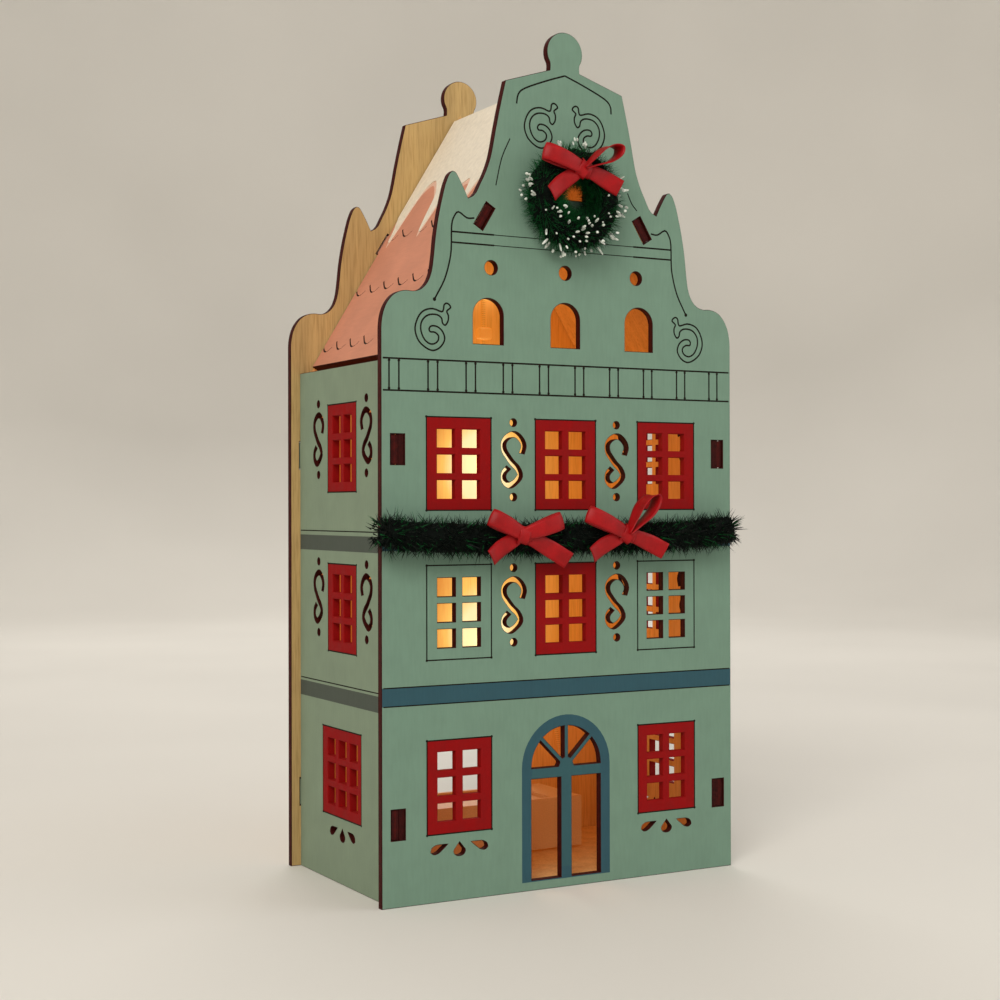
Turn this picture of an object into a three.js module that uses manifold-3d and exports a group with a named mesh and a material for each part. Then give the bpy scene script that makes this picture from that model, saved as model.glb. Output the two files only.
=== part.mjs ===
// A lighted wooden house: laser-cut plywood panels slotted together, a string of small lamps inside,
// a bristle wreath on the gable and a bristle garland with two ribbon bows across the front.
// Millimetres, +Z up, -Y is the front. The origin is the middle of the floor panel's underside.
import * as THREE from 'three';
import { mergeVertices } from 'three/addons/utils/BufferGeometryUtils.js';
import Module from 'manifold-3d';

const wasm = await Module();
wasm.setup();

// Driving sizes of the house
const HOUSE_WIDTH = 150;
const HOUSE_DEPTH = 86;
const HOUSE_HEIGHT = 315;
const SHEET = 3;
const FIT = 0.3;
const HALF = HOUSE_WIDTH / 2;
const FRONT_IN = -HOUSE_DEPTH / 2 + SHEET;
const BACK_IN = HOUSE_DEPTH / 2 - SHEET;

// Side walls, set in from the gable panels' side edges
const WALL_INSET = 3.9;
const WALL_OUT = HALF - WALL_INSET;
const WALL_IN = WALL_OUT - SHEET;
const WALL_TOP = 191;
const TENON_SHY = 0.6;
const WALL_TENON_LENGTH = 10.2;
const WALL_TENON_HEIGHTS = [28.9, 160.2];
const WALL_SLOT_SPARE = 2.2;

// Roof, two flat sheets held by tenons in slanted slots
const EAVE_INSET = 9;
const EAVE_OVER_WALL = 4;
const EAVE_HEIGHT = WALL_TOP + EAVE_OVER_WALL;
const RIDGE_BELOW_TOP = 12.3;
const RIDGE_HEIGHT = HOUSE_HEIGHT - RIDGE_BELOW_TOP;
const EAVE_X = HALF - EAVE_INSET;
const ROOF_PITCH = Math.atan2(RIDGE_HEIGHT - EAVE_HEIGHT, EAVE_X);
const ROOF_TENON_LENGTH = 9.1;
const ROOF_TENON_X = 33.9;
const ROOF_SLOT_SPARE = 0.6;

// The top face of a roof sheet at a distance from the centre line
const roofFace = (x) => RIDGE_HEIGHT - x * Math.tan(ROOF_PITCH);

// Gable outline. The steps are pairs of a curve's control point and its end, in from the panel's side edge
// and up from the level that the list is named for.
const EDGE_OVER_WALL = 10.7;
const SIDE_EDGE_TOP = WALL_TOP + EDGE_OVER_WALL;
const SHOULDER_RISE = 14.3;
const SHOULDER_TOP = SIDE_EDGE_TOP + SHOULDER_RISE;
const SHOULDER_STEPS = [[0, -5.5], [5, -1.5], [8, 0.6], [12.5, 0], [19.4, 0.5], [20.4, 11.7]];
const BUMP_INSET = 26;
const BUMP_OVER_ROOF = 33.8;
const BUMP_TOP = roofFace(HALF - BUMP_INSET) + BUMP_OVER_ROOF;
const BUMP_STEPS = [[21.8, -12.5], [BUMP_INSET, 0], [28.2, 5.5], [30.5, 1.5], [32.4, -1.5], [34.5, -6]];
const NOTCH_STEP = [36.5, -5];
const UPPER_STEPS = [[43, 4.5], [44.6, 14]];
const GABLE_SHOULDER_BELOW_TOP = 20.5;
const GABLE_SHOULDER = HOUSE_HEIGHT - GABLE_SHOULDER_BELOW_TOP;
const GABLE_SHOULDER_STEPS = [[46.5, -13.5], [49.9, 0]];
const FINIAL_RADIUS = 7.6;
const FINIAL_NECK = 6.4;
const FINIAL_HEIGHT = 14.5;

// Windows: columns and rows of small panes cut right through the sheet
const PANE_WIDTH = 7.2;
const PANE_HEIGHT = 6.6;
const PANE_PITCH_X = 10.1;
const PANE_PITCH_Z = 9.1;
const PANE_ROWS = 3;
const FRONT_WINDOW_X = 44.5;
const ROW_HEIGHTS = { top: 155.3, middle: 102.4, bottom: 40.8 };
const SIDE_WINDOW_Y = -0.3;
const SIDE_ROW_TOP = 161.7;

// Arched windows, round holes and the window behind the wreath
const ARCH_WIDTH = 12.4;
const ARCH_SILL = 198.5;
const ARCH_TOP = 215;
const ARCH_X = 32.4;
const ROUND_HOLE = 5.2;
const ROUND_HOLE_X = 31.2;
const ROUND_HOLE_Z = 226.1;
const GABLE_WINDOW_WIDTH = 18;
const GABLE_WINDOW_BELOW_TOP = 61.7;
const GABLE_WINDOW_SILL = HOUSE_HEIGHT - GABLE_WINDOW_BELOW_TOP;
const GABLE_WINDOW_HEIGHT = 14.7;

// Door
const DOOR_WIDTH = 37.8;
const DOOR_FRAME = 4.1;
const DOOR_SILL = 3.8;
const DOOR_SPRING = 44.5;
const DOOR_MULLION = 4.7;
const DOOR_TRANSOM = 4;
const FAN_HUB = 3.4;
const FAN_BAR = 1.7;

// Scroll cut-outs, one curve as points from its middle, and the dots above and below
const SCROLL_STROKE = 2;
const SCROLL_X = 22.2;
const SCROLL_DOT = 2.8;
const SCROLL_DOT_RISE = 13.5;
const SCROLL_CURVE = [
  [3.6, 2.4], [4.3, 6.2], [-0.2, 9.4], [-4.2, 5.4], [-1.6, 0.3], [3, -5.2], [-1.6, -9.3], [-4.4, -6.2],
  [-2, -2.8],
];
const FRONT_SCROLL_HEIGHTS = [157, 104.4];
const SIDE_SCROLL_HEIGHTS = [165.8, 105.8];
const SIDE_SCROLL_Y = 21.9;

// Three drops under a window, their points towards the window: a short one between two long ones
const DROP_LENGTH = 7;
const DROP_WIDTH = 2.9;
const DROP_LEAN_DEGREES = 70;
const MIDDLE_DROP_LENGTH = 4.8;
const MIDDLE_DROP_WIDTH = 4.6;
const MIDDLE_DROP_DIP = 0.9;
const DROP_PITCH = 8.1;
const DROP_Z = 19.2;

// Rear access opening
const ACCESS_WIDTH = 60;
const ACCESS_SILL = 8;
const ACCESS_TOP = 76;

// Battery box for two AA cells, its cover, contacts and switch
const CELL_RADIUS = 7.25;
const CELL_LENGTH = 50.5;
const CELL_NUB_RADIUS = 2.75;
const CELL_NUB = 1;
const BOX_WALL = 2;
const BOX_FLOOR = 1.5;
const SPRING_ROOM = 5;
const SPRING_WIDE = 4.2;
const SPRING_NARROW = 3;
const CONTACT_THICK = 0.5;
const CONTACT_WIDTH = 12.5;
const CONTACT_HEIGHT = 11;
const SWITCH_BAY = 9;
const COVER_THICK = 1.5;
const COVER_LIP = 1.2;
const GROOVE = 1;
const GRIP_RIBS = 3;
const GRIP_LENGTH = 12;
const GRIP_WIDTH = 1;
const GRIP_PITCH = 2.5;
const GRIP_RISE = 0.6;
const GRIP_INSET = 4;
const PAD_THICK = 1;
const PAD_INSET = 6;
const BOX_FROM_BACK = 2.5;
const SWITCH_LENGTH = 5;
const SWITCH_WIDTH = 2.6;
const SWITCH_PROUD = 1.8;
const SWITCH_TRAVEL = 3;
const SWITCH_FLANGE = 1;

// Lamp string
const WIRE_RADIUS = 0.8;
const WIRE_OFF_PANEL = 0.5;
const LAMP_X = 10;
const LAMP_OVER_OPENING = 8.5;
const LAMP_FIRST = ACCESS_TOP + LAMP_OVER_OPENING;
const LAMP_PITCH = 36.3;
const LAMP_COUNT = 5;
const LAMP_RADIUS = 2.5;
const LAMP_LENGTH = 6;
const LAMP_RIM = 0.4;
const LAMP_RIM_THICK = 1;
const CLIP_WIDTH = 6;
const CLIP_LENGTH = 5;
const CLIP_WALL = 1;

// Wreath, garland and ribbon
const WREATH_BELOW_TOP = 62;
const WREATH_Z = HOUSE_HEIGHT - WREATH_BELOW_TOP;
const WREATH_RING = 13;
const WREATH_RINGS = 40;
const WREATH_SIDES = 9;
const WREATH_CORE = 5.2;
const WREATH_STRAND = 4.3;
const GARLAND_LEFT = -79.5;
const GARLAND_RIGHT = 76.5;
const GARLAND_RINGS = 60;
const GARLAND_SIDES = 8;
const GARLAND_Z = 130;
const GARLAND_END_RISE = 4.5;
const GARLAND_CORE = 5.2;
const GARLAND_STRAND = 3.6;
const STRAND_ROOT = 0.5;
const STRAND_BACKWARD = 0.6;
const RIBBON_WIDTH = 6;
const RIBBON_THICK = 0.8;
const RIBBON_MARGIN = 1.2;
const LOOP_FLAT = 1.6;
const LOOP_OPEN = 2.9;
const TAIL_LIFT = 2.2;
const TAIL_SLANT = 1.2;
const KNOT_SIZE = 5;
const KNOT_THICK = 3.8;

const WREATH_BOW_X = -0.3;
const WREATH_BOW_RISE = 9.5;
const LEFT_BOW_X = -25.6;
const RIGHT_BOW_X = 18.3;

// Each arm reaches from the knot by this many ribbon widths in X and Z; a loop on edge shows its opening
const BOWS = {
  wreath_bow: {
    x: WREATH_BOW_X,
    z: WREATH_Z + WREATH_BOW_RISE,
    faceLoops: [[-2.68, 0.83]],
    edgeLoops: [[2.57, 1.43]],
    tails: [[-2.22, -1.68], [2.62, -0.98]],
  },
  garland_bow_left: {
    x: LEFT_BOW_X,
    z: GARLAND_Z,
    faceLoops: [[-2.15, 1.07], [2.63, 0.85]],
    edgeLoops: [],
    tails: [[-2.17, -1.32], [3.1, -1.57]],
  },
  garland_bow_right: {
    x: RIGHT_BOW_X,
    z: GARLAND_Z,
    faceLoops: [[-2.78, 1.23]],
    edgeLoops: [[2.07, 2.33]],
    tails: [[-2.52, -1.27], [2.77, -1.1]],
  },
};
const inMillimetres = (arm) => arm.map((widths) => widths * RIBBON_WIDTH);

// Finishes
function finish(color, roughness, metalness = 0) {
  return new THREE.MeshStandardMaterial({ color, roughness, metalness });
}
const TEAL_PAINT = finish('#6f9088', 0.75);
const BARE_PLY = finish('#c79a5e', 0.7);
const PINK_ROOF = finish('#d99a86', 0.8);
const WHITE_PLASTIC = finish('#dcd8ce', 0.5);
const CELL_SLEEVE = finish('#3a6ea5', 0.4);
const STEEL = finish('#b9bcc0', 0.3, 1);
const FOAM = finish('#eeeeea', 0.9);
const CLEAR_WIRE = finish('#c9c2a8', 0.4);
const LAMP_RESIN = finish('#fff1c8', 0.3);
const DARK_TINSEL = finish('#12231a', 0.7);
const FROSTED_TINSEL = finish('#2c5a3c', 0.7);
const RED_RIBBON = finish('#a3121b', 0.5);

const group = new THREE.Group();

function addPiece(name, geometry, material, place = new THREE.Matrix4()) {
  const piece = new THREE.Mesh(geometry, material);
  piece.name = name;
  piece.applyMatrix4(place);
  group.add(piece);
  return piece;
}

// Booleans

function toSolid(geometry) {
  const bare = geometry.clone();
  bare.deleteAttribute('normal');
  bare.deleteAttribute('uv');
  const merged = mergeVertices(bare, 1e-4);
  const mesh = new wasm.Mesh({
    numProp: 3,
    vertProperties: new Float32Array(merged.attributes.position.array),
    triVerts: new Uint32Array(merged.index.array),
  });
  return new wasm.Manifold(mesh);
}

function toGeometry(solid) {
  const mesh = solid.getMesh();
  const indexed = new THREE.BufferGeometry();
  indexed.setAttribute('position', new THREE.BufferAttribute(mesh.vertProperties, 3));
  indexed.setIndex(new THREE.BufferAttribute(mesh.triVerts, 1));
  const geometry = indexed.toNonIndexed();
  geometry.computeVertexNormals();
  return geometry;
}

function boxBetween(low, high) {
  const size = high.map((value, axis) => value - low[axis]);
  const geometry = new THREE.BoxGeometry(...size);
  geometry.translate(...low.map((value, axis) => value + size[axis] / 2));
  return geometry;
}

// Flat shapes, drawn as lists of points

const mirrored = (points) => points.map(([x, z]) => [-x, z]).reverse();
const moved = (points, dx, dz) => points.map(([x, z]) => [x + dx, z + dz]);

function turned(points, angle) {
  const c = Math.cos(angle);
  const s = Math.sin(angle);
  return points.map(([x, z]) => [x * c - z * s, x * s + z * c]);
}

function rectangle(x0, z0, x1, z1) {
  return [[x0, z0], [x1, z0], [x1, z1], [x0, z1]];
}

function arc(cx, cz, radius, from, to, steps) {
  const points = [];
  for (let i = 0; i <= steps; i += 1) {
    const angle = from + ((to - from) * i) / steps;
    points.push([cx + radius * Math.cos(angle), cz + radius * Math.sin(angle)]);
  }
  return points;
}

function disc(cx, cz, radius, sides) {
  return arc(cx, cz, radius, 0, 2 * Math.PI, sides).slice(0, sides);
}

function archway(cx, sill, top, width, steps) {
  const r = width / 2;
  const head = arc(cx, top - r, r, 0, Math.PI, steps);
  return [[cx - r, sill], [cx + r, sill], ...head];
}

function shapeOf(points) {
  return new THREE.Shape(points.map(([x, z]) => new THREE.Vector2(x, z)));
}

const prism = (shapes, depth) => new THREE.ExtrudeGeometry(shapes, { depth, bevelEnabled: false, steps: 1 });

function sheetOf(outline, holes, thickness) {
  const sheet = prism(shapeOf(outline), thickness);
  if (holes.length === 0) return sheet;
  const cutters = prism(holes.map(shapeOf), 3 * thickness).translate(0, 0, -thickness);
  return toGeometry(toSolid(sheet).subtract(toSolid(cutters)));
}

// Places a sheet drawn in X and Z so that its thickness runs from y to y + thickness
function facingFront(y, thickness) {
  return new THREE.Matrix4().makeTranslation(0, y + thickness, 0)
    .multiply(new THREE.Matrix4().makeRotationX(Math.PI / 2));
}

// Places a sheet drawn in Y and Z so that its thickness runs from x to x + thickness
function facingSide(x) {
  const along = new THREE.Matrix4().makeBasis(
    new THREE.Vector3(0, 1, 0), new THREE.Vector3(0, 0, 1), new THREE.Vector3(1, 0, 0));
  return new THREE.Matrix4().makeTranslation(x, 0, 0).multiply(along);
}

// Outline of the gable panels: the right half from the ground to the finial, then its mirror

function curveOn(path, steps, level) {
  for (let i = 0; i < steps.length; i += 2) {
    const [controlIn, controlUp] = steps[i];
    const [endIn, endUp] = steps[i + 1];
    path.quadraticCurveTo(HALF - controlIn, level + controlUp, HALF - endIn, level + endUp);
  }
}

function gableOutline() {
  const half = new THREE.Path();
  half.moveTo(HALF, 0);
  half.lineTo(HALF, SIDE_EDGE_TOP);
  curveOn(half, SHOULDER_STEPS, SHOULDER_TOP);
  curveOn(half, BUMP_STEPS, BUMP_TOP);
  half.lineTo(HALF - NOTCH_STEP[0], BUMP_TOP + NOTCH_STEP[1]);
  curveOn(half, UPPER_STEPS, BUMP_TOP);
  curveOn(half, GABLE_SHOULDER_STEPS, GABLE_SHOULDER);
  half.lineTo(FINIAL_NECK, HOUSE_HEIGHT - FINIAL_HEIGHT);
  const right = half.getPoints(4).map((point) => [point.x, point.y]);
  const neckAngle = -Math.acos(FINIAL_NECK / FINIAL_RADIUS);
  const finial = arc(0, HOUSE_HEIGHT - FINIAL_RADIUS, FINIAL_RADIUS, neckAngle, Math.PI - neckAngle, 16);
  const left = mirrored(right);
  return [...right, ...finial, ...left];
}

// Cut-outs

function paneHoles(cx, cz, columns) {
  const holes = [];
  for (let column = 0; column < columns; column += 1) {
    for (let row = 0; row < PANE_ROWS; row += 1) {
      const x = cx + (column - (columns - 1) / 2) * PANE_PITCH_X;
      const z = cz + (row - (PANE_ROWS - 1) / 2) * PANE_PITCH_Z;
      holes.push(rectangle(x - PANE_WIDTH / 2, z - PANE_HEIGHT / 2, x + PANE_WIDTH / 2, z + PANE_HEIGHT / 2));
    }
  }
  return holes;
}

function scrollHole(cx, cz, flip) {
  const curve = new THREE.CatmullRomCurve3(
    SCROLL_CURVE.map(([x, z]) => new THREE.Vector3(flip * x, z, 0)), false, 'centripetal');
  const count = 15;
  const near = [];
  const far = [];
  for (let i = 0; i <= count; i += 1) {
    const point = curve.getPointAt(i / count);
    const run = curve.getTangentAt(i / count);
    const reach = SCROLL_STROKE / 2;
    near.push([cx + point.x - run.y * reach, cz + point.y + run.x * reach]);
    far.unshift([cx + point.x + run.y * reach, cz + point.y - run.x * reach]);
  }
  return [...near, ...far];
}

function scrollSet(cx, cz, flip) {
  return [
    scrollHole(cx, cz, flip),
    disc(cx, cz + SCROLL_DOT_RISE, SCROLL_DOT / 2, 8),
    disc(cx, cz - SCROLL_DOT_RISE, SCROLL_DOT / 2, 8),
  ];
}

// A drop with its point up and its round end down
function drop(length, width) {
  const left = [[0, length / 2], [-width * 0.3, length * 0.15], [-width / 2, -length * 0.15],
    [-width * 0.36, -length * 0.4]];
  return [...left, [0, -length / 2], ...mirrored(left.slice(1))];
}

function dropHoles(cx) {
  const lean = THREE.MathUtils.degToRad(DROP_LEAN_DEGREES);
  const middle = drop(MIDDLE_DROP_LENGTH, MIDDLE_DROP_WIDTH);
  const outer = drop(DROP_LENGTH, DROP_WIDTH);
  return [
    moved(turned(outer, -lean), cx - DROP_PITCH, DROP_Z),
    moved(middle, cx, DROP_Z - MIDDLE_DROP_DIP),
    moved(turned(outer, lean), cx + DROP_PITCH, DROP_Z),
  ];
}

function doorHoles() {
  const inner = DOOR_WIDTH / 2 - DOOR_FRAME;
  const post = DOOR_MULLION / 2;
  const sill = DOOR_SPRING - DOOR_TRANSOM;
  const holes = [
    rectangle(-inner, DOOR_SILL, -post, sill),
    rectangle(post, DOOR_SILL, inner, sill),
  ];
  for (let wedge = 0; wedge < 4; wedge += 1) {
    const from = (wedge * Math.PI) / 4;
    const to = from + Math.PI / 4;
    const fromBar = wedge === 0 ? 0 : FAN_BAR / 2;
    const toBar = wedge === 3 ? 0 : FAN_BAR / 2;
    const outside = arc(0, DOOR_SPRING, inner, from + fromBar / inner, to - toBar / inner, 3);
    const hub = arc(0, DOOR_SPRING, FAN_HUB, to - toBar / FAN_HUB, from + fromBar / FAN_HUB, 1);
    holes.push([...outside, ...hub]);
  }
  return holes;
}

function wallSlots() {
  const half = WALL_TENON_LENGTH / 2 + FIT;
  return WALL_TENON_HEIGHTS.flatMap((z) => [
    rectangle(-WALL_OUT - FIT, z - half, -WALL_IN + WALL_SLOT_SPARE, z + half),
    rectangle(WALL_IN - WALL_SLOT_SPARE, z - half, WALL_OUT + FIT, z + half),
  ]);
}

function roofSlots() {
  const long = ROOF_TENON_LENGTH / 2 + FIT;
  const across = SHEET / 2 + ROOF_SLOT_SPARE;
  const slot = rectangle(-long, -across, long, across);
  const middle = roofFace(ROOF_TENON_X) - SHEET / 2 / Math.cos(ROOF_PITCH);
  return [-1, 1].map((side) => moved(turned(slot, -side * ROOF_PITCH), side * ROOF_TENON_X, middle));
}

function frontHoles() {
  const holes = [...wallSlots(), ...roofSlots(), ...doorHoles()];
  [-FRONT_WINDOW_X, FRONT_WINDOW_X].forEach((x) => {
    Object.values(ROW_HEIGHTS).forEach((z) => holes.push(...paneHoles(x, z, 2)));
    holes.push(...dropHoles(x));
  });
  holes.push(...paneHoles(0, ROW_HEIGHTS.top, 2), ...paneHoles(0, ROW_HEIGHTS.middle, 2));
  [-1, 0, 1].forEach((side) => {
    holes.push(archway(side * ARCH_X, ARCH_SILL, ARCH_TOP, ARCH_WIDTH, 8));
    holes.push(disc(side * ROUND_HOLE_X, ROUND_HOLE_Z, ROUND_HOLE / 2, 12));
  });
  [-SCROLL_X, SCROLL_X].forEach((x) => {
    FRONT_SCROLL_HEIGHTS.forEach((z) => holes.push(...scrollSet(x, z, 1)));
  });
  holes.push(archway(0, GABLE_WINDOW_SILL, GABLE_WINDOW_SILL + GABLE_WINDOW_HEIGHT, GABLE_WINDOW_WIDTH, 10));
  return holes;
}

function sideHoles() {
  const holes = [
    ...paneHoles(SIDE_WINDOW_Y, SIDE_ROW_TOP, 2),
    ...paneHoles(SIDE_WINDOW_Y, ROW_HEIGHTS.middle, 2),
    ...paneHoles(SIDE_WINDOW_Y, ROW_HEIGHTS.bottom, 3),
    ...dropHoles(SIDE_WINDOW_Y),
  ];
  SIDE_SCROLL_HEIGHTS.forEach((z) => {
    holes.push(...scrollSet(SIDE_WINDOW_Y + SIDE_SCROLL_Y, z, -1));
    holes.push(...scrollSet(SIDE_WINDOW_Y - SIDE_SCROLL_Y, z, 1));
  });
  return holes;
}

// Panels

function addGablePanels() {
  const outline = gableOutline();
  const front = sheetOf(outline, frontHoles(), SHEET);
  addPiece('front_panel', front, TEAL_PAINT, facingFront(FRONT_IN - SHEET, SHEET));
  const access = archway(0, ACCESS_SILL, ACCESS_TOP, ACCESS_WIDTH, 16);
  const back = sheetOf(outline, [...wallSlots(), ...roofSlots(), access], SHEET);
  addPiece('back_panel', back, BARE_PLY, facingFront(BACK_IN, SHEET));
}

function wallOutline() {
  const tip = BACK_IN + SHEET - TENON_SHY;
  const half = WALL_TENON_LENGTH / 2;
  const edge = [];
  WALL_TENON_HEIGHTS.forEach((z) => {
    edge.push([BACK_IN, z - half], [tip, z - half], [tip, z + half], [BACK_IN, z + half]);
  });
  const back = [[BACK_IN, 0], ...edge, [BACK_IN, WALL_TOP]];
  return [...back, ...mirrored(back)];
}

function addWalls() {
  const sheet = sheetOf(wallOutline(), sideHoles(), SHEET);
  addPiece('left_wall', sheet, TEAL_PAINT, facingSide(-WALL_OUT));
  addPiece('right_wall', sheet.clone(), TEAL_PAINT, facingSide(WALL_IN));
}

// A roof sheet is drawn in Y and along the slope, from the eave up to the ridge
function addRoofs() {
  const slope = Math.cos(ROOF_PITCH);
  const rise = Math.sin(ROOF_PITCH);
  const length = (EAVE_X - FIT / 2 - SHEET * rise) / slope;
  const tenon = (EAVE_X - ROOF_TENON_X - (SHEET / 2) * rise) / slope;
  const half = ROOF_TENON_LENGTH / 2;
  const side = BACK_IN - FIT;
  const tip = BACK_IN + SHEET - TENON_SHY;
  const edge = [[side, 0], [side, tenon - half], [tip, tenon - half], [tip, tenon + half],
    [side, tenon + half], [side, length]];
  const sheet = sheetOf([...edge, ...mirrored(edge)], [], SHEET);
  [['left_roof', -1], ['right_roof', 1]].forEach(([name, sign]) => {
    const along = new THREE.Vector3(-sign * slope, 0, rise);
    const outward = new THREE.Vector3(sign * rise, 0, slope);
    const place = new THREE.Matrix4().makeBasis(new THREE.Vector3(0, sign, 0), along, outward);
    place.setPosition(sign * (EAVE_X - SHEET * rise), 0, EAVE_HEIGHT - SHEET * slope);
    addPiece(name, sheet.clone(), PINK_ROOF, place);
  });
}

function addFloor() {
  addPiece('floor_panel', boxBetween([-WALL_IN, FRONT_IN, 0], [WALL_IN, BACK_IN, SHEET]), BARE_PLY);
}

// Battery box: two cells side by side, a cover sliding to the left, a switch bay at the right

const BOX_BASE = SHEET + PAD_THICK;
const BOX_INNER = 4 * CELL_RADIUS + 3 * FIT;
const BOX_BAY = CELL_LENGTH + SPRING_ROOM;
const BOX_LENGTH = BOX_BAY + SWITCH_BAY + 3 * BOX_WALL;
const BOX_RIGHT = BOX_LENGTH / 2;
const BOX_LEFT = -BOX_RIGHT;
const BAY_LEFT = BOX_LEFT + BOX_WALL;
const BAY_RIGHT = BAY_LEFT + BOX_BAY;
const BOX_BACK = BACK_IN - BOX_FROM_BACK;
const BOX_MIDDLE = BOX_BACK - BOX_WALL - BOX_INNER / 2;
const CELL_Z = BOX_BASE + BOX_FLOOR + FIT + CELL_RADIUS;
const COVER_Z = CELL_Z + CELL_RADIUS + 2 * FIT;
const GROOVE_TOP = COVER_Z + COVER_THICK + FIT;
const BOX_TOP = GROOVE_TOP + COVER_LIP;
const SWITCH_X = BAY_RIGHT + BOX_WALL + SWITCH_BAY / 2 - SWITCH_TRAVEL / 2;
const SWITCH_Z = (BOX_BASE + BOX_TOP) / 2;
const WIRE_HOLE = WIRE_RADIUS + FIT;

function addBatteryBox() {
  const inFront = BOX_MIDDLE - BOX_INNER / 2;
  const inBack = BOX_MIDDLE + BOX_INNER / 2;
  const bayRoof = BOX_TOP - BOX_FLOOR;
  const slotEnd = SWITCH_LENGTH / 2 + FIT;
  const slotHalf = SWITCH_WIDTH / 2 + FIT;
  const partition = BAY_RIGHT + BOX_WALL;
  const shell = toSolid(boxBetween([BOX_LEFT, inFront - BOX_WALL, BOX_BASE], [BOX_RIGHT, BOX_BACK, BOX_TOP]));
  const wireHole = new THREE.CylinderGeometry(WIRE_HOLE, WIRE_HOLE, 3 * BOX_WALL, 12);
  wireHole.rotateZ(Math.PI / 2);
  wireHole.translate(BOX_RIGHT - BOX_WALL / 2, BOX_MIDDLE, SWITCH_Z);
  const cuts = [
    boxBetween([BAY_LEFT, inFront, BOX_BASE + BOX_FLOOR], [BAY_RIGHT, inBack, BOX_TOP + 1]),
    boxBetween([BOX_LEFT - 1, inFront, COVER_Z - FIT], [BAY_LEFT + 1, inBack, BOX_TOP + 1]),
    boxBetween([BOX_LEFT - 1, inFront - GROOVE, COVER_Z - FIT], [BAY_RIGHT, inBack + GROOVE, GROOVE_TOP]),
    boxBetween([partition, inFront, BOX_BASE + BOX_FLOOR], [partition + SWITCH_BAY, inBack, bayRoof]),
    boxBetween([SWITCH_X - slotEnd, inBack - 1, SWITCH_Z - slotHalf],
      [SWITCH_X + SWITCH_TRAVEL + slotEnd, BOX_BACK + 1, SWITCH_Z + slotHalf]),
    wireHole,
  ];
  const box = cuts.reduce((solid, cut) => solid.subtract(toSolid(cut)), shell);
  addPiece('battery_box', toGeometry(box), WHITE_PLASTIC);
}

function addBatteryCover() {
  const half = BOX_INNER / 2 + GROOVE - FIT;
  const plate = toSolid(boxBetween([BOX_LEFT, BOX_MIDDLE - half, COVER_Z],
    [BAY_RIGHT - FIT, BOX_MIDDLE + half, COVER_Z + COVER_THICK]));
  let cover = plate;
  for (let i = 0; i < GRIP_RIBS; i += 1) {
    const x = BOX_LEFT + GRIP_INSET + GRIP_PITCH * i;
    const rib = boxBetween([x, BOX_MIDDLE - GRIP_LENGTH / 2, COVER_Z + COVER_THICK / 2],
      [x + GRIP_WIDTH, BOX_MIDDLE + GRIP_LENGTH / 2, COVER_Z + COVER_THICK + GRIP_RISE]);
    cover = cover.add(toSolid(rib));
  }
  addPiece('battery_cover', toGeometry(cover), WHITE_PLASTIC);
}

// A knob through the slot, with a flange behind the wall that keeps it in
function addSwitch() {
  const inside = BOX_MIDDLE + BOX_INNER / 2 - FIT;
  const long = SWITCH_LENGTH / 2;
  const wide = SWITCH_WIDTH / 2;
  const high = wide + SWITCH_FLANGE;
  const knob = toSolid(boxBetween([SWITCH_X - long, inside - SWITCH_FLANGE / 2, SWITCH_Z - wide],
    [SWITCH_X + long, BOX_BACK + SWITCH_PROUD, SWITCH_Z + wide]));
  const flange = toSolid(boxBetween([SWITCH_X - long, inside - SWITCH_FLANGE, SWITCH_Z - high],
    [SWITCH_X + long, inside, SWITCH_Z + high]));
  addPiece('light_switch', toGeometry(knob.add(flange)), WHITE_PLASTIC);
}

const SPRING_LENGTH = SPRING_ROOM - 2 * CONTACT_THICK - 4 * FIT;
const CELL_Y = CELL_RADIUS + FIT / 2;

// A cell lies along X with its plus end towards the sign given
function addCell(name, y, x, sign) {
  const shoulder = CELL_LENGTH - CELL_NUB;
  const profile = [[0, 0], [CELL_RADIUS, 0], [CELL_RADIUS, shoulder], [CELL_NUB_RADIUS, shoulder],
    [CELL_NUB_RADIUS, CELL_LENGTH], [0, CELL_LENGTH]];
  const cell = new THREE.LatheGeometry(profile.map(([r, h]) => new THREE.Vector2(r, h)), 20);
  cell.rotateZ((-sign * Math.PI) / 2);
  cell.translate(x, y, CELL_Z);
  addPiece(name, cell, CELL_SLEEVE);
}

function contactPlate(x, yLow, yHigh) {
  const half = CONTACT_HEIGHT / 2;
  return toSolid(boxBetween([x, yLow, CELL_Z - half], [x + CONTACT_THICK, yHigh, CELL_Z + half]));
}

// An end spring, plain, standing from x towards the cell
function endSpring(x, y, sign) {
  const root = CONTACT_THICK / 2;
  const cone = new THREE.CylinderGeometry(SPRING_NARROW, SPRING_WIDE, SPRING_LENGTH + root, 12);
  cone.rotateZ((-sign * Math.PI) / 2);
  cone.translate(x + (sign * (SPRING_LENGTH - root)) / 2, y, CELL_Z);
  return toSolid(cone);
}

function addCellsAndContacts() {
  const frontRow = BOX_MIDDLE - CELL_Y;
  const backRow = BOX_MIDDLE + CELL_Y;
  const leftFace = BAY_LEFT + FIT + CONTACT_THICK;
  const rightFace = BAY_RIGHT - FIT - CONTACT_THICK;
  const reach = CONTACT_WIDTH / 2;
  addCell('battery_1', frontRow, leftFace + SPRING_LENGTH + FIT, 1);
  addCell('battery_2', backRow, rightFace - SPRING_LENGTH - FIT, -1);
  const link = contactPlate(BAY_LEFT + FIT, frontRow - reach, backRow + reach);
  const minus = contactPlate(rightFace, backRow - reach, backRow + reach);
  const plus = contactPlate(rightFace, frontRow - reach, frontRow + reach);
  addPiece('contact_link', toGeometry(link.add(endSpring(leftFace, frontRow, 1))), STEEL);
  addPiece('contact_minus', toGeometry(minus.add(endSpring(rightFace, backRow, -1))), STEEL);
  addPiece('contact_plus', toGeometry(plus), STEEL);
}

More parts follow.
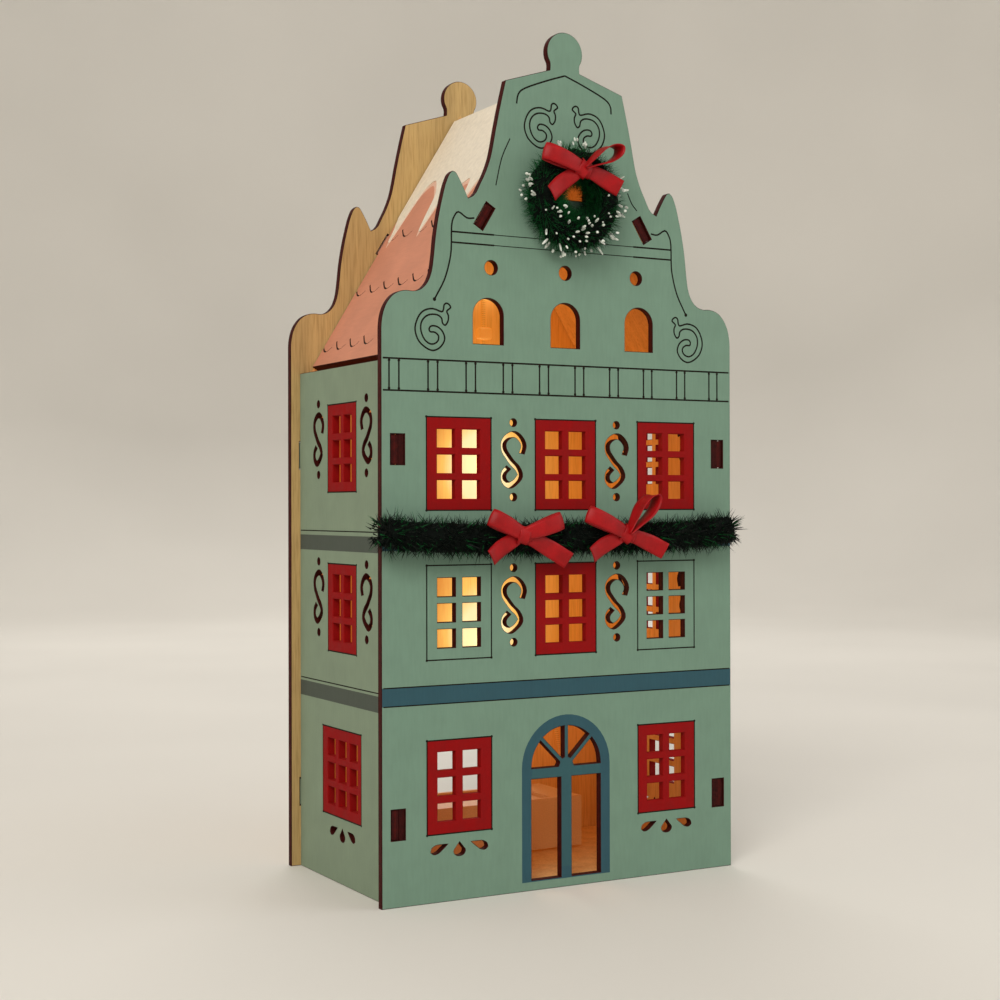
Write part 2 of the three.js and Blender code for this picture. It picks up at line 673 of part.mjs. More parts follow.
function addFoamPad() {
  const half = BOX_INNER / 2 + BOX_WALL - PAD_INSET;
  addPiece('foam_pad', boxBetween([BOX_LEFT + PAD_INSET, BOX_MIDDLE - half, SHEET],
    [BOX_RIGHT - PAD_INSET, BOX_MIDDLE + half, BOX_BASE]), FOAM);
}

// Lamp string: out of the box, up the back panel beside the opening, then straight up the middle

const WIRE_Y = BACK_IN - WIRE_RADIUS - WIRE_OFF_PANEL;
const LAMP_LAST = LAMP_FIRST + (LAMP_COUNT - 1) * LAMP_PITCH;

function addWire() {
  const x = BOX_RIGHT;
  const y = BOX_MIDDLE;
  const z = SWITCH_Z;
  const side = ACCESS_WIDTH / 2;
  const outOfBox = [[x - 1.2, y, z], [x + 3, y, z], [x + 8, y + 1.5, z], [x + 11.5, y + 6.5, z + 1]];
  const ontoPanel = [[x + 12, WIRE_Y - 5, z + 4], [x + 11.5, WIRE_Y, z + 14]];
  const pastOpening = [[x + 9, WIRE_Y, ACCESS_TOP - 30], [side + 4.5, WIRE_Y, ACCESS_TOP - 13],
    [side - 6, WIRE_Y, ACCESS_TOP - 2.5], [LAMP_X + 4.5, WIRE_Y, ACCESS_TOP + 3.5]];
  const upTheMiddle = [2, 7, 12].map((rise) => [LAMP_X, WIRE_Y, LAMP_FIRST + rise]);
  const toTheEnd = [[LAMP_X, WIRE_Y, LAMP_LAST - 20], [LAMP_X, WIRE_Y, LAMP_LAST + 8]];
  const route = [...outOfBox, ...ontoPanel, ...pastOpening, ...upTheMiddle, ...toTheEnd];
  const points = route.map((point) => new THREE.Vector3(...point));
  const path = new THREE.CatmullRomCurve3(points, false, 'centripetal');
  const section = shapeOf(disc(0, 0, WIRE_RADIUS, 8));
  const wire = new THREE.ExtrudeGeometry(section, { steps: 66, extrudePath: path, bevelEnabled: false });
  addPiece('light_wire', wire, CLEAR_WIRE);
}

function addLamps() {
  const base = WIRE_Y - WIRE_RADIUS - FIT;
  const dome = arc(0, LAMP_LENGTH - LAMP_RADIUS, LAMP_RADIUS, 0, Math.PI / 2, 4);
  const rim = LAMP_RADIUS + LAMP_RIM;
  const profile = [[0, 0], [rim, 0], [rim, LAMP_RIM_THICK], [LAMP_RADIUS, LAMP_RIM_THICK],
    ...dome.slice(0, -1), [0, LAMP_LENGTH]];
  for (let i = 0; i < LAMP_COUNT; i += 1) {
    const lamp = new THREE.LatheGeometry(profile.map(([r, h]) => new THREE.Vector2(r, h)), 12);
    lamp.rotateX(Math.PI);
    lamp.translate(LAMP_X, base, LAMP_FIRST + i * LAMP_PITCH);
    addPiece(`lamp_${i + 1}`, lamp, LAMP_RESIN);
  }
}

function addClips() {
  const bridge = WIRE_Y - WIRE_HOLE;
  const outside = [[CLIP_WIDTH / 2, bridge - CLIP_WALL], [CLIP_WIDTH / 2, BACK_IN], [WIRE_HOLE, BACK_IN],
    [WIRE_HOLE, bridge]];
  const outline = [...outside, ...mirrored(outside)];
  for (let i = 0; i < LAMP_COUNT - 1; i += 1) {
    const clip = prism(shapeOf(outline), CLIP_LENGTH);
    clip.translate(LAMP_X, 0, LAMP_FIRST + (i + 0.5) * LAMP_PITCH - CLIP_LENGTH / 2);
    addPiece(`wire_clip_${i + 1}`, clip, FOAM);
  }
}

// Bristle forms: a core of flat cells, with one three-sided strand standing from each cell that keeps one

function numbersFrom(seed) {
  let state = seed;
  return () => {
    state = (state * 1103515245 + 12345) % 2147483648;
    return state / 2147483648;
  };
}

const FACE_FRONT = -HOUSE_DEPTH / 2;
const TO_FRONT = new THREE.Vector3(0, -1, 0);

// The plane that a bow's back lies in, just in front of the core it is tied to
const bowBack = (core) => FACE_FRONT - 2 * core - 2 * FIT;

function distanceToArm([x, z], [armX, armZ]) {
  const share = Math.min(1, Math.max(0, (x * armX + z * armZ) / (armX ** 2 + armZ ** 2)));
  return Math.hypot(x - share * armX, z - share * armZ);
}

function underBow(point, bows, back) {
  if (point.y > back + FIT) return false;
  return bows.some((bow) => [...bow.faceLoops, ...bow.edgeLoops, ...bow.tails].some((arm) => {
    const distance = distanceToArm([point.x - bow.x, point.z - bow.z], inMillimetres(arm));
    return distance < RIBBON_WIDTH / 2 + RIBBON_MARGIN;
  }));
}

// Collects points and triangles into one closed surface
function newSurface() {
  const points = [];
  const faces = [];
  return {
    add: (point) => points.push(point.x, point.y, point.z) / 3 - 1,
    at: (index) => new THREE.Vector3().fromArray(points, 3 * index),
    face: (...corners) => faces.push(...corners),
    geometry: () => {
      const geometry = new THREE.BufferGeometry();
      geometry.setAttribute('position', new THREE.Float32BufferAttribute(points, 3));
      geometry.setIndex(faces);
      geometry.computeVertexNormals();
      return geometry;
    },
  };
}

// Rings of points round the spine; gives back the number of the point at ring i, side j
function addCore(surface, { spine, rings, sides, core, closed, taper }) {
  const ringCount = closed ? rings : rings + 1;
  for (let i = 0; i < ringCount; i += 1) {
    const { point, run } = spine(i / rings);
    const up = new THREE.Vector3().crossVectors(TO_FRONT, run);
    for (let j = 0; j < sides; j += 1) {
      const angle = (2 * Math.PI * (j + 0.5)) / sides;
      const out = TO_FRONT.clone().multiplyScalar(Math.cos(angle)).addScaledVector(up, Math.sin(angle));
      surface.add(point.clone().addScaledVector(out, core * taper(i / rings)));
    }
  }
  return (i, j) => (i % ringCount) * sides + (j % sides);
}

function addStrand(surface, [a, b, c, d], middle, run, around, tip) {
  const [r, s, t] = [-90, 30, 150].map((degrees) => {
    const angle = THREE.MathUtils.degToRad(degrees);
    const foot = middle.clone().addScaledVector(run, STRAND_ROOT * Math.cos(angle));
    return surface.add(foot.addScaledVector(around, STRAND_ROOT * Math.sin(angle)));
  });
  const peak = surface.add(tip);
  surface.face(a, b, r, b, s, r, b, c, s, c, t, s, c, d, t, d, a, t, a, r, t);
  surface.face(r, s, peak, s, t, peak, t, r, peak);
}

function capEnds(surface, corner, { spine, rings, sides }) {
  const first = surface.add(spine(0).point);
  const last = surface.add(spine(1).point);
  for (let j = 0; j < sides; j += 1) {
    surface.face(first, corner(0, j), corner(0, j + 1));
    surface.face(last, corner(rings, j + 1), corner(rings, j));
  }
}

function bristled(form) {
  const { spine, rings, sides, core, strand, closed, bows, thinned, seed } = form;
  const random = numbersFrom(seed);
  const surface = newSurface();
  const corner = addCore(surface, form);
  for (let i = 0; i < rings; i += 1) {
    const { point, run } = spine((i + 0.5) / rings);
    for (let j = 0; j < sides; j += 1) {
      const cell = [corner(i, j), corner(i + 1, j), corner(i + 1, j + 1), corner(i, j + 1)];
      const middle = new THREE.Vector3();
      cell.forEach((index) => middle.addScaledVector(surface.at(index), 1 / cell.length));
      const out = middle.clone().sub(point).normalize();
      const around = new THREE.Vector3().crossVectors(out, run).normalize();
      const tip = middle.clone().addScaledVector(out, strand * (0.7 + 0.3 * random()));
      tip.addScaledVector(run, strand * 0.2 * (random() - 0.5));
      tip.addScaledVector(around, strand * 0.2 * (random() - 0.5));
      if (out.y > STRAND_BACKWARD || thinned(i, j) || underBow(tip, bows, bowBack(core))) {
        surface.face(cell[0], cell[1], cell[2], cell[0], cell[2], cell[3]);
      } else {
        addStrand(surface, cell, middle, run, around, tip);
      }
    }
  }
  if (!closed) capEnds(surface, corner, form);
  return surface.geometry();
}

function addWreath() {
  const y = FACE_FRONT - FIT - WREATH_CORE;
  const spine = (share) => {
    const angle = share * 2 * Math.PI;
    return {
      point: new THREE.Vector3(WREATH_RING * Math.cos(angle), y, WREATH_Z + WREATH_RING * Math.sin(angle)),
      run: new THREE.Vector3(-Math.sin(angle), 0, Math.cos(angle)),
    };
  };
  // The strands that point to the middle of the ring stand on every other cell
  const thinned = (i, j) => j < WREATH_SIDES / 2 - 1 && i % 2 === 1;
  const geometry = bristled({ spine, rings: WREATH_RINGS, sides: WREATH_SIDES, core: WREATH_CORE,
    strand: WREATH_STRAND, closed: true, taper: () => 1, bows: [BOWS.wreath_bow], thinned, seed: 7 });
  addPiece('wreath', geometry, FROSTED_TINSEL);
}

function addGarland() {
  const y = FACE_FRONT - FIT - GARLAND_CORE;
  const middle = (GARLAND_LEFT + GARLAND_RIGHT) / 2;
  const half = (GARLAND_RIGHT - GARLAND_LEFT) / 2;
  const spine = (share) => {
    const s = 2 * share - 1;
    return {
      point: new THREE.Vector3(middle + half * s, y, GARLAND_Z + GARLAND_END_RISE * s ** 4),
      run: new THREE.Vector3(half, 0, 4 * GARLAND_END_RISE * s ** 3).normalize(),
    };
  };
  const taper = (share) => Math.min(1, 0.5 + 6 * Math.min(share, 1 - share));
  const geometry = bristled({ spine, rings: GARLAND_RINGS, sides: GARLAND_SIDES, core: GARLAND_CORE,
    strand: GARLAND_STRAND, closed: false, taper, bows: [BOWS.garland_bow_left, BOWS.garland_bow_right],
    thinned: () => false, seed: 11 });
  addPiece('garland', geometry, DARK_TINSEL);
}

// Bows: loops and tails of flat ribbon that spread from a knot and are pinched where they leave it

const pinch = (along) => Math.min(1, 0.55 + 1.3 * along);

// The directions along an arm, and across it in the plane of the front
function armDirections([dx, dz]) {
  const length = Math.hypot(dx, dz);
  const along = new THREE.Vector3(dx, 0, dz).normalize();
  return { length, along, across: new THREE.Vector3(-along.z, 0, along.x) };
}

function loopBand(length, radius) {
  const bend = (2 * Math.PI) / 3;
  const round = arc(length - radius, 0, radius, -bend, bend, 10);
  const inside = arc(length - radius, 0, radius - RIBBON_THICK, -bend, bend, 8);
  const outline = [[0, -RIBBON_THICK], ...round, [0, RIBBON_THICK]];
  return sheetOf(outline, [[[length / 4, 0], ...inside]], RIBBON_WIDTH);
}

function faceLoop(reach, back) {
  const { length, along, across } = armDirections(reach);
  const band = loopBand(length, LOOP_FLAT);
  const place = band.attributes.position;
  for (let i = 0; i < place.count; i += 1) {
    place.setZ(i, (place.getZ(i) - RIBBON_WIDTH / 2) * pinch(place.getX(i) / length));
  }
  const basis = new THREE.Matrix4().makeBasis(along, TO_FRONT, across.negate());
  return band.applyMatrix4(basis.setPosition(0, back - LOOP_FLAT, 0));
}

function edgeLoop(reach, back) {
  const { length, along, across } = armDirections(reach);
  const basis = new THREE.Matrix4().makeBasis(along, across, TO_FRONT);
  return loopBand(length, LOOP_OPEN).applyMatrix4(basis.setPosition(0, back, 0));
}

function tail(reach, back) {
  const { length, along, across } = armDirections(reach);
  const wide = RIBBON_WIDTH / 2;
  const narrow = wide * pinch(0);
  const outline = [[0, -narrow], [length / 3, -wide], [length - TAIL_SLANT, -wide],
    [length + TAIL_SLANT, wide], [length / 3, wide], [0, narrow]];
  const strip = sheetOf(outline, [], RIBBON_THICK);
  const place = strip.attributes.position;
  for (let i = 0; i < place.count; i += 1) {
    place.setZ(i, place.getZ(i) + (TAIL_LIFT * place.getX(i)) / length);
  }
  const basis = new THREE.Matrix4().makeBasis(along, across, TO_FRONT);
  return strip.applyMatrix4(basis.setPosition(0, back, 0));
}

function addBow(name, core) {
  const bow = BOWS[name];
  const back = bowBack(core);
  const half = KNOT_SIZE / 2;
  const knot = boxBetween([-half, back - KNOT_THICK, -half], [half, back, half]);
  const arms = [
    ...bow.faceLoops.map((arm) => faceLoop(inMillimetres(arm), back)),
    ...bow.edgeLoops.map((arm) => edgeLoop(inMillimetres(arm), back)),
    ...bow.tails.map((arm) => tail(inMillimetres(arm), back)),
  ];
  const solid = arms.reduce((sum, arm) => sum.add(toSolid(arm)), toSolid(knot));
  addPiece(name, toGeometry(solid).translate(bow.x, 0, bow.z), RED_RIBBON);
}

addGablePanels();
addWalls();
addRoofs();
addFloor();
addBatteryBox();
addBatteryCover();
addSwitch();
addCellsAndContacts();
addFoamPad();
addWire();
addLamps();
addClips();
addWreath();
addGarland();
addBow('wreath_bow', WREATH_CORE);
addBow('garland_bow_left', GARLAND_CORE);
addBow('garland_bow_right', GARLAND_CORE);

export default group;
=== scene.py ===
"""Lighted wooden house: a painted plywood canal house with lamps inside, a wreath, a garland and bows."""

import math
import random

import bmesh
import bpy
from mathutils import Matrix, Vector
from mathutils.geometry import delaunay_2d_cdt


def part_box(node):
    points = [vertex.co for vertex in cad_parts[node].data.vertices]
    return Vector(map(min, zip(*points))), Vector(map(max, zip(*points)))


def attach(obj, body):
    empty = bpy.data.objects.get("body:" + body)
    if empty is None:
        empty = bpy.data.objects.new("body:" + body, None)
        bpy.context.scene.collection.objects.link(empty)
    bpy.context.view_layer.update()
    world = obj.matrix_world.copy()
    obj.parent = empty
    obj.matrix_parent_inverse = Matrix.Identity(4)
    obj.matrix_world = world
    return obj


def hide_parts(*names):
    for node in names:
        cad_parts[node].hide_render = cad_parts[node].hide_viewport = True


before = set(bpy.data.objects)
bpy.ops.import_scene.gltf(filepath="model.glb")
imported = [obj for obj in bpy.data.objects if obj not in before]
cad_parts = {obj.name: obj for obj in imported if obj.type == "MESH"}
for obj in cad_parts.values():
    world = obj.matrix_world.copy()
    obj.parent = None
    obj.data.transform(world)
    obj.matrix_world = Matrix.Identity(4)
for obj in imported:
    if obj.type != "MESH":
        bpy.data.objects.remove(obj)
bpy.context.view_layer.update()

bl_info = {
    "name": "Lighted wooden house",
    "version": (1, 0, 0),
    "blender": (4, 5, 0),
    "location": "View3D > Sidebar > House",
    "description": "Builds the paint, ribbon, bristle and light of a plywood house around its packed solids",
    "category": "Object",
}

# Metres in a millimetre
MM = 0.001

# Sheets of plywood: front faces of the gable panels and the outer faces of the walls, from the packed
# solids
SHEET = 3.0
FRONT_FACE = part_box("front_panel")[0].y / MM
BACK_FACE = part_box("back_panel")[1].y / MM
WALL_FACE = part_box("right_wall")[1].x / MM
ROOF_EAVE_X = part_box("right_roof")[1].x / MM
ROOF_EAVE_Z = 195.0
ROOF_PITCH = math.radians(58.5)
ROOF_PEAK = 302.7

# The walls' painted tops stand this much over their solids, to meet the eaves as the photograph shows,
# and what lies this close to a solid's top is moved with it
WALL_OVER = 1.2
WALL_TOP_REACH = 0.5

# Slots of the walls' tenons, with dark blocks of painted shade in their gaps: their heights, their length,
# how far the blocks go on inwards, how deep their ends lie, and how far they start outside the sheet's inner
# face
TENON_HEIGHTS = (28.9, 160.2)
TENON_LENGTH = 10.76
TENON_SPARE = 2.1
TENON_SHY = 0.6
TENON_START = 0.1

# How outlines are rounded: the least bend and the sharpest ones, in degrees, at a sheet's edge and in its
# holes, how many times as long as the next a straight edge is, steps to an edge, and the least reach of a
# mitre
LEAST_BEND = 1.5
EDGE_BEND = 47.0
HOLE_BEND = 66.0
STRAIGHT_RATIO = 3.0
BEND_STEPS = 3
LEAST_MITRE = 0.35

# Windows of the front, as painted rectangles: half width, rows from bottom to top, columns
WINDOW_HALF_WIDTH = 13.0
WINDOW_COLUMNS = {"left": -44.4, "middle": 0.0, "right": 44.6}
FRONT_ROWS = {"top": (138.8, 171.9), "middle": (85.8, 119.3), "bottom": (24.1, 57.4)}
RED_WINDOWS = {("left", "top"), ("middle", "top"), ("right", "top"), ("middle", "middle"),
               ("left", "bottom"), ("right", "bottom")}
BARE_WINDOWS = {("left", "middle"), ("right", "middle")}
SIDE_WINDOWS = ((-13.3, 12.7, 145.6, 178.4), (-13.3, 12.7, 86.0, 118.8), (-17.2, 17.8, 24.6, 57.4))
WINDOW_DOT = 0.5

# Door: half width of the blue frame, height of the sill and of the arch's spring line, width of the frame
DOOR_HALF_WIDTH = 18.9
DOOR_FOOT = 3.2
DOOR_SPRING = 44.5
DOOR_FRAME = 4.4

# Painted bands across the front and the sides, from bottom to top
FRONT_BANDS = ((70.3, 76.8), (124.6, 130.5))
SIDE_BANDS = ((67.0, 72.8), (123.6, 129.4))
SIDE_BAND_LINES = (73.9, 131.0)

# Course of standing bricks under the gable
BRICK_TOP = 192.0
BRICK_FOOT = 180.8
BRICK_PAIRS = 10
BRICK_PITCH = 15.2
BRICK_FIRST = -70.0
BRICK_GAP = 3.8
BRICK_DOT = 0.55
BRICK_DOT_INSET = 0.7

# Burnt lines: how far they stay inside a sheet's edge, the bands' lines on the front and on the sides
# inside their painted rectangles, and the widths of thinner lines as shares of a full one
LINE_MARGIN = 0.7
FRONT_LINE_INSET = 1.7
SIDE_LINE_INSET = 4.2
FRAME_LINE = 0.8
THIN_LINE = 0.7
FAINT_LINE = 0.5

# Lines burnt into the gable, in mm from the middle and from the floor
CHEVRON = ((-20.5, 286.5), (-19.8, 290), (-17, 292.5), (-8, 296.2), (0, 299), (8, 296.2), (17, 292.5),
           (19.8, 290), (20.2, 287))
SHOULDER_LINE = ((38, 243.5), (41, 243.3), (44.4, 245.2), (46.2, 243.4), (47.2, 240), (47.4, 231.5),
                 (48.4, 226), (50.2, 220.5), (53, 215.4), (54.1, 213.5))
SHOULDER_DOT = 0.7
CONTOURS = (((-23.3, 273.5), (-26.8, 266), (-29.2, 256)), ((27.5, 258), (29.3, 254.3), (31.7, 251.7)))
CORNICE_LINES = (238.0, 234.2)
CORNICE_HALF_WIDTH = 47.2
CORNICE_FAINT_HALF = 30.0
CURVE_STEPS = 3

# Leaf scroll, one closed line on the right shoulder; its copies are mirrored or moved by the shift
SCROLL = ((51.3, 209.2), (54.7, 210.1), (58, 209.4), (60.2, 207.4), (61.6, 204.1), (61.6, 201.3),
          (60.2, 198.3), (57.4, 196.1), (54.7, 195.3), (52.2, 196.3), (50.5, 198.3), (50.1, 200.2),
          (51.1, 202.4), (53, 203.8), (55.2, 204), (56.2, 203), (55.8, 201.9), (54.1, 201.8), (52.6, 200.7),
          (52.6, 199.1), (53.8, 197.9), (55.8, 197.6), (58, 199), (59.4, 201.9), (59.4, 204.7), (58, 206.9),
          (55.8, 208), (53, 208), (51.3, 206.9), (50.9, 205.2), (49.8, 204.5), (48.7, 206.1), (48.6, 208),
          (49.2, 209.5), (47.7, 210.8), (48.3, 211.9), (49.4, 212.3), (50.3, 211.6), (50.5, 210.2))
SCROLL_SHIFT = (-44.5, 76.0)

# Roof: rows of burnt shingle marks, their places and pitches up the slope and along the eave, how far
# each row moves back, and a mark's two strokes with their widths as shares of a full line
MARK_ROWS = 4
MARK_COUNT = 7
MARK_FIRST = 6.5
MARK_PITCH_UP = 26.6
MARK_FIRST_ALONG = -34.6
MARK_PITCH_ALONG = 12.7
MARK_ROW_SHIFT = 0.7
MARK_STROKES = ((((0, 4.5), (2.4, 2.5), (4.8, 0.8), (7, 0.1)), 1.1),
                (((7, 0.1), (9, 0.5), (11.2, 2.1)), 0.45))
DRIP_STEPS = 4

# Painted snow: its thickness, what it keeps from the roof's edges, how far it thins out, and its lower edge
SNOW_THICK = 0.35
SNOW_MARGIN = 0.45
SNOW_THIN = 2.4
SNOW_EDGE = ((-39.7, 80), (-33, 77), (-27, 80), (-22.5, 78), (-20, 72), (-18.2, 67), (-16.4, 72), (-15, 79),
             (-12.5, 81), (-7, 79), (1, 79), (5, 72), (8, 60), (10.4, 66), (12.6, 77), (16, 82), (22, 87),
             (28, 84), (31, 76), (34.6, 59), (37, 66), (39.7, 72))

# Paint along the ridge: its section sideways, rings along it, what it keeps from the ends, how far its
# rim, its back and its underside lie from the roofs, how lumpy and how crooked it is, and how its tip is
# rounded off
RIDGE_SECTION = (-4.2, -3.0, -1.7, -0.7, 0.0, 0.7, 1.7, 3.0, 4.2)
RIDGE_RINGS = 54
RIDGE_MARGIN = 0.3
RIDGE_RIM = 0.25
RIDGE_BACK = 0.45
RIDGE_UNDER = 0.5
RIDGE_LUMPS = 0.25
RIDGE_WANDER = 0.12
RIDGE_TIP = 0.4
RIDGE_ROUND = 0.35

# Strength of the glow that each of the five lamps paints as emission on what lies inside, and the colour of
# that painted glow from the dimmest place to the brightest
PAINTED_GLOW_STRENGTHS = (1.1, 0.2, 1.1, 0.2, 0.24)
PAINTED_GLOW_COLOURS = ((0.04, "#3a1604"), (0.2, "#92480f"), (0.4, "#b0681a"), (0.62, "#cc8a3a"), (0.82, "#fbc966"),
             (1.0, "#fff8c0"))

# Out of the front of the house
FORWARD = Vector((0, -1, 0))

# Bristle ropes: how far their middles lie before the front, and what tips, cores and roots keep from it
ROPE_OUT = 5.2
TIP_CLEAR = 0.3
CORE_CLEAR = 0.4
ROOT_CLEAR = 0.5
TIP_SCATTER = 0.6
BRISTLE_SIDES = 3
CORE_SIDES = 12
CORE_ROUGH = (0.88, 1.06)

# Wreath: radii of its ring and its core, where bristles start and end, the share of them on its inner
# side, and how many rings of points its core has
WREATH_RING = 13.0
WREATH_CORE = 5.4
WREATH_ROOT = 3.8
WREATH_REACH = 9.9
WREATH_INNER = 0.34
WREATH_RINGS = 72

# Frosted flecks: their number, how far out they sit, how long the short and the long ones are, how wide
# they are, what they keep from the ribbons, and their section from end to end
FLECKS = 105
FLECK_OUT = (7.0, 9.0)
FLECK_SHORT = (0.9, 1.6)
FLECK_LONG = (2.0, 4.2)
FLECK_WIDTH = (0.7, 1.15)
FLECK_CLEAR = 1.4
FLECK_SIDES = 6
FLECK_SECTION = ((-0.5, 0.0), (-0.42, 0.7), (-0.15, 1.0), (0.2, 0.9), (0.44, 0.6), (0.5, 0.0))
FLECK_LEAST = 0.05

# Garland: its height, how far its ends rise, how far they stay inside its solid, its core and its bristles
GARLAND_LEVEL = 128.6
GARLAND_RISE = 2.8
GARLAND_ENDS = (0.6, 4.5)
GARLAND_CORE = 5.2
GARLAND_ROOT = 3.2
GARLAND_REACH = 10.0
GARLAND_RAGGED = 1.5
GARLAND_BRISTLE = 1.9
GARLAND_RINGS = 110

# Ribbon: its width, thickness, crown and steps across, and what bristles under it keep from its edge and
# its back
RIBBON_WIDTH = 6.0
RIBBON_THICK = 0.35
RIBBON_CROWN = 0.35
RIBBON_STEPS = 6
RIBBON_CLEAR = 0.8
BOW_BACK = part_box("wreath_bow")[1].y / MM + 0.3

# Arms of a bow from the knot to the tip and back: share of the length, then mm out or sideways, and last
# the share of the ribbon's width. A tail has mm out, then sideways.
FACE_LOOP = ((0.0, 2.0, 0.72), (0.25, 2.9, 0.88), (0.55, 3.5, 1.0), (0.85, 3.2, 1.04), (0.98, 2.2, 1.04),
             (1.0, 1.4, 1.04), (0.95, 0.6, 1.04), (0.7, 0.35, 1.0), (0.35, 0.5, 0.85), (0.0, 0.8, 0.7))
EDGE_LOOP = ((0.0, 0.3, 0.5), (0.3, 1.7, 0.8), (0.6, 2.9, 1.0), (0.86, 2.4, 1.0), (1.0, 0.3, 1.0),
             (0.88, -1.9, 1.0), (0.6, -2.4, 1.0), (0.3, -1.3, 0.8), (0.0, -0.3, 0.5))
TAIL = ((0.0, 0.9, 0.0, 0.7), (0.25, 1.4, 0.3, 0.88), (0.6, 1.0, 0.5, 1.04), (0.85, 1.3, 0.2, 1.06),
        (1.0, 1.9, -0.1, 1.06))

# An edge loop's height before the knot, how much lower its tip is, and how far its ribbon is turned
EDGE_LOOP_OUT = 2.9
EDGE_LOOP_FALL = 0.4
EDGE_LOOP_TURN = Vector((0.15, 0, 0))

# Knot: turn, width and size of each of its two wraps, its height and depth, and points to a wrap
KNOT_WRAPS = ((0.0, 1.0, 1.0), (0.3, 0.7, 1.12))
KNOT_HALF_HEIGHT = 2.9
KNOT_OUT = 1.6
KNOT_DEPTH = 1.9
KNOT_POINTS = 8
KNOT_STEPS = 3

# Bows: the arms in widths of ribbon, sideways and up, the middle's place in mm and the knot's lean
BOWS = {
    "wreath_bow": {"middle": (-0.3, 262.5), "lean": 0.25,
                   "face_loops": [(-2.68, 0.83)], "edge_loops": [(2.57, 1.43)],
                   "tails": [(-2.22, -1.68), (2.62, -0.98)]},
    "garland_bow_left": {"middle": (-25.6, 130.0), "lean": -0.1,
                         "face_loops": [(-2.15, 1.07), (2.63, 0.85)], "edge_loops": [],
                         "tails": [(-2.17, -1.32), (3.1, -1.57)]},
    "garland_bow_right": {"middle": (18.3, 130.0), "lean": 0.2,
                          "face_loops": [(-2.78, 1.23)], "edge_loops": [(2.07, 2.33)],
                          "tails": [(-2.52, -1.27), (2.77, -1.1)]},
}

# Foam tape: rows of points across a face, how square its corners are, and how tight it is
FOAM_CUTS = 7
FOAM_SQUARENESS = 7.0

# Solids of foam tape, each shown by a soft piece of its own
FOAM_NODES = ("foam_pad", "wire_clip_1", "wire_clip_2", "wire_clip_3", "wire_clip_4")

# Finish of each solid that is shown as it is
KEPT_NODES = {
    "plastic": ("battery_box", "battery_cover", "light_switch"),
    "sleeve": ("battery_1", "battery_2"),
    "steel": ("contact_link", "contact_minus", "contact_plus"),
    "wire": ("light_wire",),
    "lamp": ("lamp_1", "lamp_2", "lamp_3", "lamp_4", "lamp_5"),
}

# Faces of a box whose eight corners count up z first, then y, then x
BOX_FACES = ((0, 1, 3, 2), (4, 6, 7, 5), (0, 4, 5, 1), (2, 3, 7, 6), (0, 2, 6, 4), (1, 5, 7, 3))

# Floor of the stage, in metres: radius where its points start and of its flat, radius of its bend, height
# of its rim, and points to a ring and to the bend
FLOOR_START = 0.4
FLOOR_FLAT = 1.5
FLOOR_BEND = 0.6
FLOOR_TOP = 2.6
FLOOR_SIDES = 96
FLOOR_BEND_STEPS = 8

# Soft square lights: name, place and side in metres, watts and colour; where they point, and the sky's
# strength
LIGHTS = (("key", (-1.1, -1.2, 1.25), 0.9, 21.0, (1.0, 0.96, 0.9)),
          ("fill", (1.3, -0.8, 0.7), 1.2, 5.0, (0.93, 0.96, 1.0)),
          ("rear", (0.5, 1.3, 1.1), 1.0, 8.0, (1.0, 0.97, 0.93)))
LIGHT_TARGET = (0, 0, 0.14)
SKY_STRENGTH = 0.5

# Camera of the photograph: its place in metres and its turns in degrees
CAMERA_PLACE = (-0.3269, -0.5821, 0.1403)
CAMERA_YAW = 29.025
CAMERA_PITCH = 0.199
CAMERA_ROLL = -0.125
CAMERA_LENS = 61.48
CAMERA_SENSOR = 36.0


def linear(hex_colour):
    """The linear colour of an sRGB hex value, with alpha."""
    parts = [int(hex_colour[i:i + 2], 16) / 255 for i in (1, 3, 5)]
    return tuple(c / 12.92 if c <= 0.04045 else ((c + 0.055) / 1.055) ** 2.4 for c in parts) + (1.0,)


def colour_setting(name, hex_colour, description):
    """A colour that the panel shows."""
    return bpy.props.FloatVectorProperty(name=name, description=description, subtype="COLOR", size=4,
                                         min=0.0, max=1.0, default=linear(hex_colour))


def length_setting(name, millimetres, description):
    """A length that the panel shows, kept in metres."""
    return bpy.props.FloatProperty(name=name, description=description, subtype="DISTANCE", unit="LENGTH",
                                   min=0.0, default=millimetres * MM)


class HousePaint(bpy.types.PropertyGroup):
    """Colours of the painted plywood."""

    teal: colour_setting("Teal", "#728f7e", "Paint of the front")
    side: colour_setting("Side", "#80907b", "Paint of the side walls")
    red: colour_setting("Red", "#8a0507", "Paint of the window frames")
    blue: colour_setting("Blue", "#32545f", "Paint of the door frame and the front's bands")
    band: colour_setting("Side band", "#4e554d", "Paint of the side walls' bands")
    fanlight: colour_setting("Fanlight", "#365a60", "Paint of the bars in the door")
    pink: colour_setting("Pink", "#cb8a70", "Paint of the roof")
    snow: colour_setting("Snow", "#ece1ce", "Thick white paint on the roof")
    ply: colour_setting("Plywood", "#c0a068", "Bare plywood")
    burnt: colour_setting("Burnt edge", "#3e0906", "Edges and lines that the laser left")


class HouseLight(bpy.types.PropertyGroup):
    """Glow of the lamps, painted as emission on the plywood inside."""

    # Reach and strength of the lamps' glow that is painted as emission on the surfaces inside
    reach: length_setting("Reach", 22.0, "Distance at which a lamp's light has dropped to half")
    strength: bpy.props.FloatProperty(name="Strength", default=1.0, min=0.0,
                                      description="Brightness of the lit plywood")


